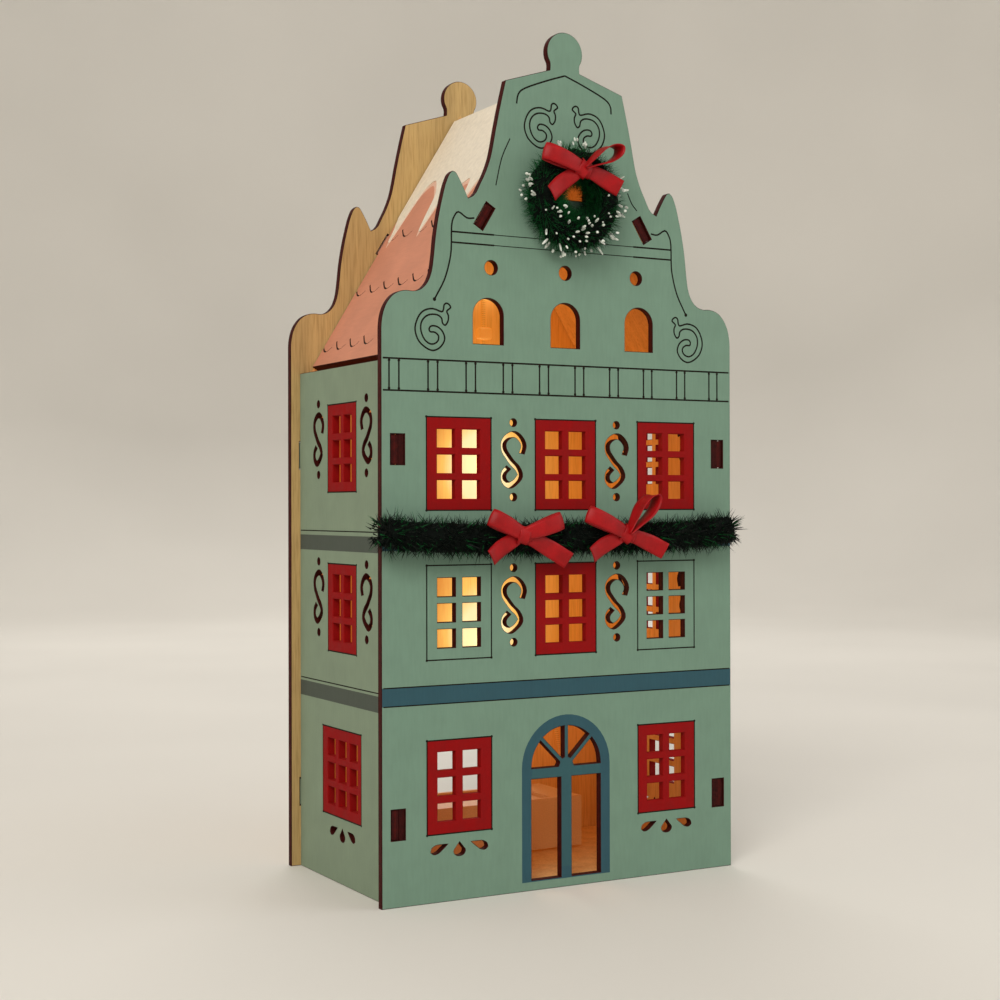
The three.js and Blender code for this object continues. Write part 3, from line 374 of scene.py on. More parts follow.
class HouseTrim(bpy.types.PropertyGroup):
    """Wreath, garland and ribbons."""

    green: colour_setting("Green", "#0f5226", "Bristles of the wreath")
    dark: colour_setting("Dark green", "#050e09", "Bristles of the garland")
    frost: colour_setting("Frost", "#dfe6dc", "Frosted tips")
    ribbon: colour_setting("Ribbon", "#a0040c", "Satin ribbon")
    wreath_bristles: bpy.props.IntProperty(name="Wreath bristles", default=6200, min=100,
                                           description="Number of bristles in the wreath")
    garland_bristles: bpy.props.IntProperty(name="Garland bristles", default=6200, min=100,
                                            description="Number of bristles in the garland")
    bristle_width: length_setting("Bristle", 0.3, "Width of one bristle at its foot")


class HouseLines(bpy.types.PropertyGroup):
    """Cuts and burnt lines of the plywood."""

    width: length_setting("Line width", 0.62, "Width of a burnt line")
    depth: length_setting("Line depth", 0.3, "Depth of a burnt line")
    arris: length_setting("Arris", 0.22, "Width of the scorched arris along a cut edge")


SETTINGS = {"house_paint": HousePaint, "house_light": HouseLight, "house_trim": HouseTrim,
            "house_lines": HouseLines}


def setting(group):
    """The scene's settings of one group."""
    return getattr(bpy.context.scene, group)


# Materials

def add_node(tree, kind, settings=None, links=None):
    """Adds a node. Lower-case settings are its own values and the others name its sockets."""
    node = tree.nodes.new(kind)
    for name, value in (settings or {}).items():
        if isinstance(name, str) and name[0].islower():
            setattr(node, name, value)
        else:
            node.inputs[name].default_value = value
    for name, source in (links or {}).items():
        tree.links.new(source, node.inputs[name])
    return node


def new_material(name):
    """An empty material with its tree, its Principled shader and the object's own coordinates in mm."""
    material = bpy.data.materials.new(name)
    material.use_nodes = True
    tree = material.node_tree
    tree.nodes.clear()
    shader = add_node(tree, "ShaderNodeBsdfPrincipled")
    add_node(tree, "ShaderNodeOutputMaterial", links={"Surface": shader.outputs["BSDF"]})
    place = add_node(tree, "ShaderNodeTexCoord")
    scaled = add_node(tree, "ShaderNodeVectorMath", {"operation": "SCALE", "Scale": 1 / MM},
                      {0: place.outputs["Object"]})
    return material, tree, shader, scaled.outputs[0]


def stretched(tree, millimetres, scale):
    """Coordinates squeezed along some axes, so that a pattern runs long on the others."""
    node = add_node(tree, "ShaderNodeMapping", {"vector_type": "POINT", "Scale": scale},
                    {"Vector": millimetres})
    return node.outputs[0]


def ramp(tree, source, stops):
    """A colour ramp over the stops, as pairs of place and colour."""
    node = add_node(tree, "ShaderNodeValToRGB", links={"Fac": source})
    elements = node.color_ramp.elements
    while len(elements) < len(stops):
        elements.new(0.5)
    for element, (place, colour) in zip(elements, stops):
        element.position = place
        element.color = colour
    return node.outputs["Color"]


def times(colour, factor):
    """The colour made lighter or darker."""
    return tuple(min(1.0, c * factor) for c in colour[:3]) + (1.0,)


def mixed(tree, factor, first, second, blend="MIX"):
    """A mix of two colours, each a socket or a value."""
    settings = {"data_type": "RGBA", "blend_type": blend}
    links = {}
    for slot, value in ((0, factor), (6, first), (7, second)):
        if isinstance(value, bpy.types.NodeSocket):
            links[slot] = value
        else:
            settings[slot] = value
    return add_node(tree, "ShaderNodeMix", settings, links).outputs[2]


def noise(tree, where, pitch, detail=3.0, roughness=0.55):
    """Noise whose blotches are about the pitch in mm across."""
    node = add_node(tree, "ShaderNodeTexNoise",
                    {"Scale": 1 / pitch, "Detail": detail, "Roughness": roughness}, {"Vector": where})
    return node.outputs["Fac"]


def bumped(tree, shader, height, depth):
    """Relief of the given depth in mm on the shader's normal."""
    node = add_node(tree, "ShaderNodeBump", {"Strength": 1.0, "Distance": depth * MM}, {"Height": height})
    tree.links.new(node.outputs[0], shader.inputs["Normal"])


def matte_paint(name, colour, grain=(1, 1, 0.12), blotch=9.0, depth=0.03, worn=0.035):
    """Matte acrylic craft paint, brushed thin on birch plywood: chalky, with faint lines along the grain."""
    material, tree, shader, where = new_material(name)
    along = stretched(tree, where, grain)
    brush = noise(tree, along, 0.9, 4.0)
    patches = noise(tree, where, blotch, 2.0)
    tone = ramp(tree, patches, ((0.3, times(colour, 1 - worn)), (0.7, times(colour, 1 + worn))))
    streaks = ramp(tree, brush, ((0.3, (0.955, 0.955, 0.955, 1)), (0.62, (1.01, 1.01, 1.01, 1))))
    base = mixed(tree, 1.0, tone, streaks, "MULTIPLY")
    tree.links.new(base, shader.inputs["Base Color"])
    rough = ramp(tree, patches, ((0.3, (0.68,) * 3 + (1,)), (0.7, (0.82,) * 3 + (1,))))
    tree.links.new(rough, shader.inputs["Roughness"])
    shader.inputs["Specular IOR Level"].default_value = 0.15
    bumped(tree, shader, brush, depth)
    return material


def snow_paint(name, colour):
    """Thick white structure paint, dabbed on: soft lumps about 2 mm across and a slight gloss."""
    material, tree, shader, where = new_material(name)
    lumps = noise(tree, where, 2.2, 4.0)
    tone = ramp(tree, lumps, ((0.3, times(colour, 0.86)), (0.7, colour)))
    tree.links.new(tone, shader.inputs["Base Color"])
    shader.inputs["Roughness"].default_value = 0.62
    bumped(tree, shader, lumps, 0.25)
    return material


def ply_grain(tree, where, grain, colour):
    """Birch veneer: fine long fibres with broad soft figure. Returns the colour and the fibres."""
    along = stretched(tree, where, grain)
    fibres = noise(tree, along, 0.7, 5.0)
    figure = noise(tree, along, 6.0, 2.0)
    tone = ramp(tree, figure, ((0.3, times(colour, 0.84)), (0.55, colour), (0.75, times(colour, 1.12))))
    lines = ramp(tree, fibres, ((0.28, (0.72, 0.68, 0.6, 1)), (0.55, (1, 1, 1, 1))))
    return mixed(tree, 1.0, tone, lines, "MULTIPLY"), fibres


def bare_plywood(name, colour, grain=(1, 1, 0.06)):
    """Sanded birch plywood, uncoated: pale, dull, with its fibres running up the sheet."""
    material, tree, shader, where = new_material(name)
    base, fibres = ply_grain(tree, where, grain, colour)
    tree.links.new(base, shader.inputs["Base Color"])
    shader.inputs["Roughness"].default_value = 0.78
    bumped(tree, shader, fibres, 0.05)
    return material


def lamp_places():
    """The middle of each lamp, in mm."""
    places = []
    for number in range(1, len(PAINTED_GLOW_STRENGTHS) + 1):
        low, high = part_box(f"lamp_{number}")
        places.append((low + high) / 2 / MM)
    return places


def painted_glow_brightness(tree, where):
    """How bright the lamps' painted glow is at a point: each gives its light over 1 + (distance / reach)
    squared.
    """
    reach = setting("house_light").reach / MM
    total = None
    for lamp, light in zip(lamp_places(), PAINTED_GLOW_STRENGTHS):
        away = add_node(tree, "ShaderNodeVectorMath", {"operation": "DISTANCE", 1: lamp}, {0: where})
        share = add_node(tree, "ShaderNodeMath", {"operation": "DIVIDE", 1: reach},
                         {0: away.outputs["Value"]})
        square = add_node(tree, "ShaderNodeMath", {"operation": "POWER", 1: 2.0}, {0: share.outputs[0]})
        more = add_node(tree, "ShaderNodeMath", {"operation": "ADD", 1: 1.0}, {0: square.outputs[0]})
        given = add_node(tree, "ShaderNodeMath", {"operation": "DIVIDE", 0: light}, {1: more.outputs[0]})
        if total is None:
            total = given.outputs[0]
        else:
            both = add_node(tree, "ShaderNodeMath", {"operation": "ADD"}, {0: total, 1: given.outputs[0]})
            total = both.outputs[0]
    return total


def indoors(tree, where):
    """1 between the walls and under the roofs, and 0 outside: where the lamps' glow and warm tint are
    painted.
    """
    apart = add_node(tree, "ShaderNodeSeparateXYZ", links={0: where})
    away = add_node(tree, "ShaderNodeMath", {"operation": "ABSOLUTE"}, {0: apart.outputs["X"]}).outputs[0]
    between = add_node(tree, "ShaderNodeMath", {"operation": "LESS_THAN", 1: WALL_FACE - SHEET / 2},
                       {0: away})
    lean = add_node(tree, "ShaderNodeMath", {"operation": "MULTIPLY", 1: math.tan(ROOF_PITCH)}, {0: away})
    over = add_node(tree, "ShaderNodeMath", {"operation": "ADD"}, {0: lean.outputs[0], 1: apart.outputs["Z"]})
    under = add_node(tree, "ShaderNodeMath", {"operation": "LESS_THAN", 1: ROOF_PEAK - SHEET / 2},
                     {0: over.outputs[0]})
    both = add_node(tree, "ShaderNodeMath", {"operation": "MULTIPLY"},
                    {0: between.outputs[0], 1: under.outputs[0]})
    return both.outputs[0]


def painted_warm_tint(tree, where, tone):
    """A pale surface's own colour with painted lamp light: multiplied by a warm tint indoors."""
    warm = mixed(tree, 1.0, tone, linear("#f0cc98"), "MULTIPLY")
    return mixed(tree, indoors(tree, where), tone, warm)


def painted_emission_glow(tree, shader, where, base, share=1.0):
    """The lamps' light painted as emission on a surface indoors, or a share of it: pale yellow near a lamp,
    red-brown far off.
    """
    stops = [(place, linear(colour)) for place, colour in PAINTED_GLOW_COLOURS]
    glow = ramp(tree, painted_glow_brightness(tree, where), stops)
    tree.links.new(mixed(tree, 0.2, glow, base, "MULTIPLY"), shader.inputs["Emission Color"])
    strength = setting("house_light").strength * share
    seen = add_node(tree, "ShaderNodeMath", {"operation": "MULTIPLY", 1: strength},
                    {0: indoors(tree, where)})
    tree.links.new(seen.outputs[0], shader.inputs["Emission Strength"])


def plywood_with_painted_glow(name, colour, grain=(1, 1, 0.06)):
    """Bare plywood inside the house, with the warm lamps' light painted on it as emission."""
    material, tree, shader, where = new_material(name)
    base, fibres = ply_grain(tree, where, grain, colour)
    tree.links.new(base, shader.inputs["Base Color"])
    shader.inputs["Roughness"].default_value = 0.8
    bumped(tree, shader, fibres, 0.05)
    painted_emission_glow(tree, shader, where, base)
    return material


def burnt_edge(name, colour):
    """Laser-cut plywood edge: three plies, charred red-brown, darkest at the faces and the glue lines."""
    material, tree, shader, where = new_material(name)
    depth = add_node(tree, "ShaderNodeAttribute", {"attribute_name": "depth_mm"})
    share = add_node(tree, "ShaderNodeMath", {"operation": "DIVIDE", 1: SHEET}, {0: depth.outputs["Fac"]})
    plies = ramp(tree, share.outputs[0], (
        (0.0, times(colour, 0.7)), (0.3, colour), (0.34, times(colour, 0.35)), (0.38, times(colour, 1.3)),
        (0.62, times(colour, 1.3)), (0.66, times(colour, 0.35)), (0.7, colour), (1.0, times(colour, 0.7))))
    soot = noise(tree, where, 1.4, 4.0)
    marks = ramp(tree, soot, ((0.3, (0.55, 0.5, 0.5, 1)), (0.65, (1.15, 1.1, 1.05, 1))))
    tree.links.new(mixed(tree, 1.0, plies, marks, "MULTIPLY"), shader.inputs["Base Color"])
    shader.inputs["Roughness"].default_value = 0.72
    shader.inputs["Specular IOR Level"].default_value = 0.15
    bumped(tree, shader, soot, 0.06)
    return material


def moulded_plastic(name, colour):
    """White ABS, spark-eroded mould finish: even, satin, with a fine grain of about 0.4 mm."""
    material, tree, shader, where = new_material(name)
    grit = noise(tree, where, 0.4, 2.0)
    tone = ramp(tree, grit, ((0.3, times(colour, 0.85)), (0.7, times(colour, 1.15))))
    # Painted lamp light: the base colour tinted warm indoors, and below, half of the lamps' glow painted on
    # as emission
    tree.links.new(painted_warm_tint(tree, where, tone), shader.inputs["Base Color"])
    shader.inputs["Roughness"].default_value = 0.46
    shader.inputs["IOR"].default_value = 1.53
    bumped(tree, shader, grit, 0.02)
    painted_emission_glow(tree, shader, where, tone, 0.5)
    return material


def cell_sleeve(name, colour):
    """Shrink sleeve of an AA cell: glossy film, slightly mottled."""
    material, tree, shader, where = new_material(name)
    faint = noise(tree, where, 3.0, 2.0)
    tone = ramp(tree, faint, ((0.3, times(colour, 0.9)), (0.7, times(colour, 1.1))))
    tree.links.new(tone, shader.inputs["Base Color"])
    shader.inputs["Roughness"].default_value = 0.24
    shader.inputs["Coat Weight"].default_value = 0.5
    bumped(tree, shader, faint, 0.03)
    return material


def plated_steel(name, colour):
    """Nickel-plated spring steel: bright, with fine drawing lines 0.2 mm apart."""
    material, tree, shader, where = new_material(name)
    lines = noise(tree, stretched(tree, where, (0.1, 1, 1)), 0.2, 3.0)
    tone = ramp(tree, lines, ((0.3, times(colour, 0.85)), (0.7, colour)))
    tree.links.new(tone, shader.inputs["Base Color"])
    shader.inputs["Metallic"].default_value = 1.0
    shader.inputs["Roughness"].default_value = 0.3
    bumped(tree, shader, lines, 0.01)
    return material


def foam_tape(name, colour):
    """Closed-cell polyethylene foam tape: dull white with cells about 0.5 mm across."""
    material, tree, shader, where = new_material(name)
    cells = add_node(tree, "ShaderNodeTexVoronoi", {"Scale": 1 / 0.5}, {"Vector": where})
    tone = ramp(tree, cells.outputs["Distance"], ((0.0, times(colour, 0.8)), (0.5, colour)))
    # Painted lamp light: the base colour tinted warm indoors, and below, the lamps' glow painted on as
    # emission
    tree.links.new(painted_warm_tint(tree, where, tone), shader.inputs["Base Color"])
    shader.inputs["Roughness"].default_value = 0.85
    bumped(tree, shader, cells.outputs["Distance"], 0.08)
    painted_emission_glow(tree, shader, where, tone)
    return material


def clear_pvc(name, colour):
    """Clear PVC over copper strands: the strands show as a twist of about 0.9 mm under a glossy skin."""
    material, tree, shader, where = new_material(name)
    twist = add_node(tree, "ShaderNodeTexWave", {"bands_direction": "Z", "Scale": 0.35, "Distortion": 2.0},
                     {"Vector": where})
    tone = ramp(tree, twist.outputs["Fac"], ((0.2, times(colour, 0.7)), (0.8, times(colour, 1.1))))
    # Painted lamp light: the base colour tinted warm indoors, and below, the lamps' glow painted on as
    # emission
    tree.links.new(painted_warm_tint(tree, where, tone), shader.inputs["Base Color"])
    shader.inputs["Roughness"].default_value = 0.2
    shader.inputs["Coat Weight"].default_value = 0.6
    painted_emission_glow(tree, shader, where, tone)
    return material


def lamp_resin(name):
    """Clear epoxy lamp with a warm white diode: bright, nearly white at the tip."""
    material, tree, shader, where = new_material(name)
    haze = noise(tree, where, 1.0, 2.0)
    tone = ramp(tree, haze, ((0.3, linear("#ffdf9c")), (0.7, linear("#fff6dc"))))
    tree.links.new(tone, shader.inputs["Base Color"])
    tree.links.new(tone, shader.inputs["Emission Color"])
    shader.inputs["Emission Strength"].default_value = 6.0
    shader.inputs["Roughness"].default_value = 0.15
    return material


def bristle_material(name, colour, roughness=0.5):
    """Slit PVC film, twisted into wire: each bristle slightly glossy, some lighter than others."""
    material, tree, shader, where = new_material(name)
    tufts = noise(tree, where, 1.6, 3.0)
    tone = ramp(tree, tufts, ((0.3, times(colour, 0.45)), (0.55, colour), (0.75, times(colour, 1.9))))
    tree.links.new(tone, shader.inputs["Base Color"])
    shader.inputs["Roughness"].default_value = roughness
    shader.inputs["Specular IOR Level"].default_value = 0.12
    return material


def satin_ribbon(name, colour):
    """Polyester satin: smooth, with a broad soft sheen across the weave, whose threads are 0.25 mm apart."""
    material, tree, shader, where = new_material(name)
    threads = noise(tree, stretched(tree, where, (1, 1, 0.3)), 0.25, 2.0)
    # Painted shade and highlight: the colour darker and lighter in blotches about 5 mm across, as on folds
    painted_fold_shading = noise(tree, where, 5.0, 2.0)
    tone = ramp(tree, painted_fold_shading, ((0.3, times(colour, 0.8)), (0.7, times(colour, 1.15))))
    weave = ramp(tree, threads, ((0.3, (0.86,) * 3 + (1,)), (0.7, (1.06,) * 3 + (1,))))
    tree.links.new(mixed(tree, 1.0, tone, weave, "MULTIPLY"), shader.inputs["Base Color"])
    shader.inputs["Roughness"].default_value = 0.46
    shader.inputs["Specular IOR Level"].default_value = 0.25
    shader.inputs["Anisotropic"].default_value = 0.5
    shader.inputs["Sheen Weight"].default_value = 0.05
    shader.inputs["Sheen Tint"].default_value = colour
    shader.inputs["Sheen Roughness"].default_value = 0.4
    bumped(tree, shader, threads, 0.02)
    return material


def backdrop_paint(name):
    """Pale matte board under and behind the house."""
    material, tree, shader, where = new_material(name)
    cloud = noise(tree, where, 400.0, 2.0)
    tone = ramp(tree, cloud, ((0.3, linear("#dedbd5")), (0.7, linear("#e6e3dd"))))
    tree.links.new(tone, shader.inputs["Base Color"])
    shader.inputs["Roughness"].default_value = 0.9
    return material


def palette():
    """All materials by the short name that the pieces use, made once."""
    paint = setting("house_paint")
    trim = setting("house_trim")
    return {
        "teal": matte_paint("teal_acrylic_on_birch_ply", paint.teal),
        "side": matte_paint("grey_green_acrylic_on_birch_ply", paint.side, blotch=12.0, worn=0.05),
        "red": matte_paint("red_acrylic_on_birch_ply", paint.red, blotch=5.0, worn=0.07),
        "blue": matte_paint("blue_acrylic_on_birch_ply", paint.blue, blotch=6.0),
        "band": matte_paint("grey_acrylic_on_birch_ply", paint.band, blotch=6.0),
        "fanlight": matte_paint("green_blue_acrylic_on_birch_ply", paint.fanlight, blotch=5.0),
        "pink": matte_paint("pink_acrylic_on_birch_ply", paint.pink, grain=(1, 0.12, 1), blotch=12.0,
                            worn=0.06),
        "thin": matte_paint("thin_white_acrylic_over_pink", linear("#dcb39d"), grain=(1, 0.12, 1),
                            worn=0.08),
        "snow": snow_paint("white_structure_paint", paint.snow),
        "ply": bare_plywood("bare_birch_plywood", paint.ply),
        # Inner faces of the sheets: bare plywood with the lamps' glow painted on as emission
        "lit": plywood_with_painted_glow("bare_birch_plywood_under_painted_lamp_light", paint.ply),
        "burnt": burnt_edge("laser_cut_plywood_edge", paint.burnt),
        "line": burnt_edge("laser_burnt_line", linear("#231c15")),
        "plastic": moulded_plastic("white_abs", linear("#dcd8ce")),
        "sleeve": cell_sleeve("cell_shrink_sleeve", linear("#3a6ea5")),
        "steel": plated_steel("nickel_plated_steel", linear("#b9bcc0")),
        "foam": foam_tape("white_foam_tape", linear("#eeeeea")),
        "wire": clear_pvc("clear_pvc_over_copper", linear("#c9c2a9")),
        "lamp": lamp_resin("warm_white_epoxy_lamp"),
        "green": bristle_material("green_pvc_bristle", trim.green),
        "dark": bristle_material("dark_pvc_bristle", trim.dark),
        # The ropes' dense middles: darker than their bristles, as painted shade among the bristles
        "core": bristle_material("bristle_core_with_painted_shade", times(trim.dark, 0.6), 0.9),
        "frost": bristle_material("frosted_bristle_tip", trim.frost, 0.6),
        "ribbon": satin_ribbon("red_satin_ribbon", trim.ribbon),
        "backdrop": backdrop_paint("pale_board"),
    }


PALETTE = {}


def finish_of(short_name):
    """A material by its short name."""
    if not PALETTE:
        PALETTE.update(palette())
    return PALETTE[short_name]


# Meshes

def new_piece(name, verts, faces, finishes, face_finish=None, smooth=False, depth=None):
    """A mesh object from points in mm, with its materials and the depth below its face at each point."""
    mesh = bpy.data.meshes.new(name)
    mesh.from_pydata([Vector(v) * MM for v in verts], [], faces)
    for finish in finishes:
        mesh.materials.append(finish_of(finish))
    if face_finish:
        mesh.polygons.foreach_set("material_index", face_finish)
    if smooth:
        mesh.polygons.foreach_set("use_smooth", [True] * len(mesh.polygons))
    if depth:
        attribute = mesh.attributes.new("depth_mm", "FLOAT", "POINT")
        attribute.data.foreach_set("value", depth)
    mesh.validate()
    mesh.update()
    piece = bpy.data.objects.new(name, mesh)
    bpy.context.scene.collection.objects.link(piece)
    return piece


def settle(piece, nodes=(), body="house"):
    """Ties a piece to its body and hides the solids that it stands for."""
    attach(piece, body)
    if nodes:
        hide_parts(*nodes)
    return piece


def tube_faces(first, rings, sides, closed=False):
    """Faces of a tube from its first point on, ring by ring, with caps unless it closes on itself."""
    faces = []
    for i in range(rings if closed else rings - 1):
        here = first + i * sides
        there = first + (i + 1) % rings * sides
        for k in range(sides):
            after = (k + 1) % sides
            faces.append([here + k, here + after, there + after, there + k])
    if not closed:
        faces.append([first + k for k in range(sides)][::-1])
        faces.append([first + (rings - 1) * sides + k for k in range(sides)])
    return faces


def catmull(points, steps, closed=False):
    """A smooth line through the points, each a Vector or a tuple, with the steps between two of them."""
    points = [Vector(p) for p in points]
    count = len(points)
    spans = count if closed else count - 1
    line = []
    for i in range(spans):
        if closed:
            a, b, c, d = (points[(i + k) % count] for k in (-1, 0, 1, 2))
        else:
            b, c = points[i], points[i + 1]
            a = points[i - 1] if i else b * 2 - c
            d = points[i + 2] if i + 2 < count else c * 2 - b
        for k in range(steps):
            t = k / steps
            line.append(((b * 2) + (c - a) * t + (a * 2 - b * 5 + c * 4 - d) * t * t
                         + (b * 3 - a - c * 3 + d) * t ** 3) * 0.5)
    if not closed:
        line.append(points[-1])
    return line


def turned(before, here, after):
    """The turn of a flat outline at a point, in degrees."""
    first = here - before
    second = after - here
    return abs(math.degrees(first.angle_signed(second))) if first.length and second.length else 0.0


def rounded(loop, sharpest=EDGE_BEND):
    """An outline whose bends are rounded between their corners, with its real corners kept."""
    count = len(loop)
    lengths = [(loop[(i + 1) % count] - loop[i]).length for i in range(count)]
    turns = [turned(loop[i - 1], loop[i], loop[(i + 1) % count]) for i in range(count)]
    smooth = [LEAST_BEND < turn < sharpest for turn in turns]

    def direction(i, forward):
        """The way the outline runs at corner i, as the edge before or after it sees it."""
        ahead = (loop[(i + 1) % count] - loop[i]).normalized()
        behind = (loop[i] - loop[i - 1]).normalized()
        if not smooth[i]:
            return ahead if forward else behind
        if lengths[i] > STRAIGHT_RATIO * lengths[i - 1]:
            return ahead
        if lengths[i - 1] > STRAIGHT_RATIO * lengths[i]:
            return behind
        return (ahead * lengths[i - 1] + behind * lengths[i]).normalized()

    line = []
    for i in range(count):
        start, end = loop[i], loop[(i + 1) % count]
        line.append(start)
        after = (i + 1) % count
        long_edge = lengths[i] > STRAIGHT_RATIO * max(lengths[i - 1], lengths[after])
        if long_edge or not (smooth[i] or smooth[after]):
            continue
        go = direction(i, True) * lengths[i]
        come = direction(after, False) * lengths[i]
        for k in range(1, BEND_STEPS):
            t = k / BEND_STEPS
            line.append(start * (2 * t ** 3 - 3 * t ** 2 + 1) + go * (t ** 3 - 2 * t ** 2 + t)
                        + end * (3 * t ** 2 - 2 * t ** 3) + come * (t ** 3 - t ** 2))
    return line


def signed_area(loop):
    """Area of a flat outline, over 0 if it runs anticlockwise."""
    return sum(loop[i - 1].x * loop[i].y - loop[i].x * loop[i - 1].y for i in range(len(loop))) / 2


def sides_of(loop):
    """The sides of a closed outline, as pairs of its corners."""
    return list(zip(loop, loop[1:] + loop[:1]))


def mitred(before, here, after, distance):
    """A corner of an outline moved to its left by the distance."""
    first = (here - before).normalized()
    second = (after - here).normalized()
    first_side = Vector((-first.y, first.x))
    second_side = Vector((-second.y, second.x))
    reach = max(LEAST_MITRE, 1 + first_side.dot(second_side))
    return here + (first_side + second_side) * (distance / reach)


def offset_points(loop, distance, closed=True):
    """The outline moved to its left by the distance, with mitred corners."""
    moved = []
    count = len(loop)
    for i, here in enumerate(loop):
        before = loop[i - 1] if closed or i else here * 2 - loop[1]
        after = loop[(i + 1) % count] if closed or i + 1 < count else here * 2 - loop[i - 1]
        moved.append(mitred(before, here, after, distance))
    return moved


def stroke(points, width):
    """The flat outline of a line of the given width, open at neither end."""
    left = offset_points(points, width / 2, closed=False)
    right = offset_points(points, -width / 2, closed=False)
    return right + left[::-1]


def strokes(points, width, closed=False):
    """Outlines of an open line, or of a closed one in two halves that share their ends."""
    points = [Vector(p) for p in points]
    if not closed:
        return [stroke(points, width)]
    half = len(points) // 2
    return [stroke(points[:half + 1], width), stroke(points[half:] + points[:2], width)]


def straight_line(start, end, width):
    """The outline of a straight line from one point to another."""
    return stroke([Vector(start), Vector(end)], width)


def rectangle(left, right, foot, top):
    """An upright rectangle, anticlockwise."""
    return [Vector((left, foot)), Vector((right, foot)), Vector((right, top)), Vector((left, top))]


def arched(half_width, foot, spring, steps=24):
    """A door shape: a rectangle under a half circle."""
    points = [Vector((-half_width, foot)), Vector((half_width, foot))]
    for i in range(steps + 1):
        angle = math.pi * i / steps
        points.append(Vector((half_width * math.cos(angle), spring + half_width * math.sin(angle))))
    return points


def dot(x, z, radius, sides=8):
    """A small round mark."""
    angles = [2 * math.pi * i / sides for i in range(sides)]
    return [Vector((x + radius * math.cos(angle), z + radius * math.sin(angle))) for angle in angles]


class Plane:
    """The outer face of a sheet: a place on it, its two axes and its thickness below the face, in mm."""

    def __init__(self, origin, across, up, thick=SHEET):
        self.origin = Vector(origin)
        self.across = Vector(across)
        self.up = Vector(up)
        self.out = self.across.cross(self.up)
        self.thick = thick

    def flat(self, place):
        """A point of space as a point of the face."""
        away = place - self.origin
        return Vector((away.dot(self.across), away.dot(self.up)))

    def point(self, flat, depth=0.0):
        """A point of the face, or under it, in space."""
        return self.origin + self.across * flat.x + self.up * flat.y - self.out * depth


def face_outlines(node, plane):
    """Outlines of a solid's face in the plane, in mm, anticlockwise: the outer one first, then its holes."""
    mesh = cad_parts[node].data
    places = {}

    def key(i):
        """One key for all vertices at a place."""
        place = mesh.vertices[i].co / MM
        name = tuple(round(c * 50) for c in place)
        places.setdefault(name, plane.flat(place))
        return name

    edges = set()
    for face in mesh.polygons:
        over = (face.center / MM - plane.origin).dot(plane.out)
        if face.normal.dot(plane.out) > 0.995 and abs(over) < 0.1:
            corners = [key(i) for i in face.vertices]
            edges.update(sides_of(corners))
    follows = {a: b for a, b in edges if (b, a) not in edges}
    loops = []
    while follows:
        start = next(iter(sorted(follows)))
        loop = []
        here = start
        while here in follows:
            loop.append(places[here])
            here = follows.pop(here)
        if len(loop) > 2:
            loops.append(loop)
    loops.sort(key=lambda loop: -abs(signed_area(loop)))
    return [loop if signed_area(loop) > 0 else loop[::-1] for loop in loops]


def inside(point, loop):
    """True if the point lies in the outline."""
    hit = False
    for a, b in sides_of(loop):
        if (a.y > point.y) != (b.y > point.y):
            if point.x < a.x + (b.x - a.x) * (point.y - a.y) / (b.y - a.y):
                hit = not hit
    return hit


def cut_outlines(node, plane, arris, reshape):
    """A sheet's outlines with rounded bends, drawn in by the arris: the outer one first, then its holes."""
    outlines = face_outlines(node, plane)
    if reshape:
        outlines = [[reshape(p) for p in loop] for loop in outlines]
    outer = rounded(outlines[0])
    holes = [rounded(loop, HOLE_BEND) for loop in outlines[1:]]
    return [offset_points(outer, arris)] + [offset_points(hole, -arris) for hole in holes]


def cut_up(shapes):
    """Corners and triangles of a face that all the outlines cut up, and the outlines around each triangle."""
    corners = []
    faces = []
    for shape in shapes:
        first = len(corners)
        corners.extend(shape if signed_area(shape) > 0 else shape[::-1])
        faces.append(list(range(first, len(corners))))
    flat, _, tris, _, _, owners = delaunay_2d_cdt(corners, [], faces, 1, 1e-4, True)
    return flat, tris, owners


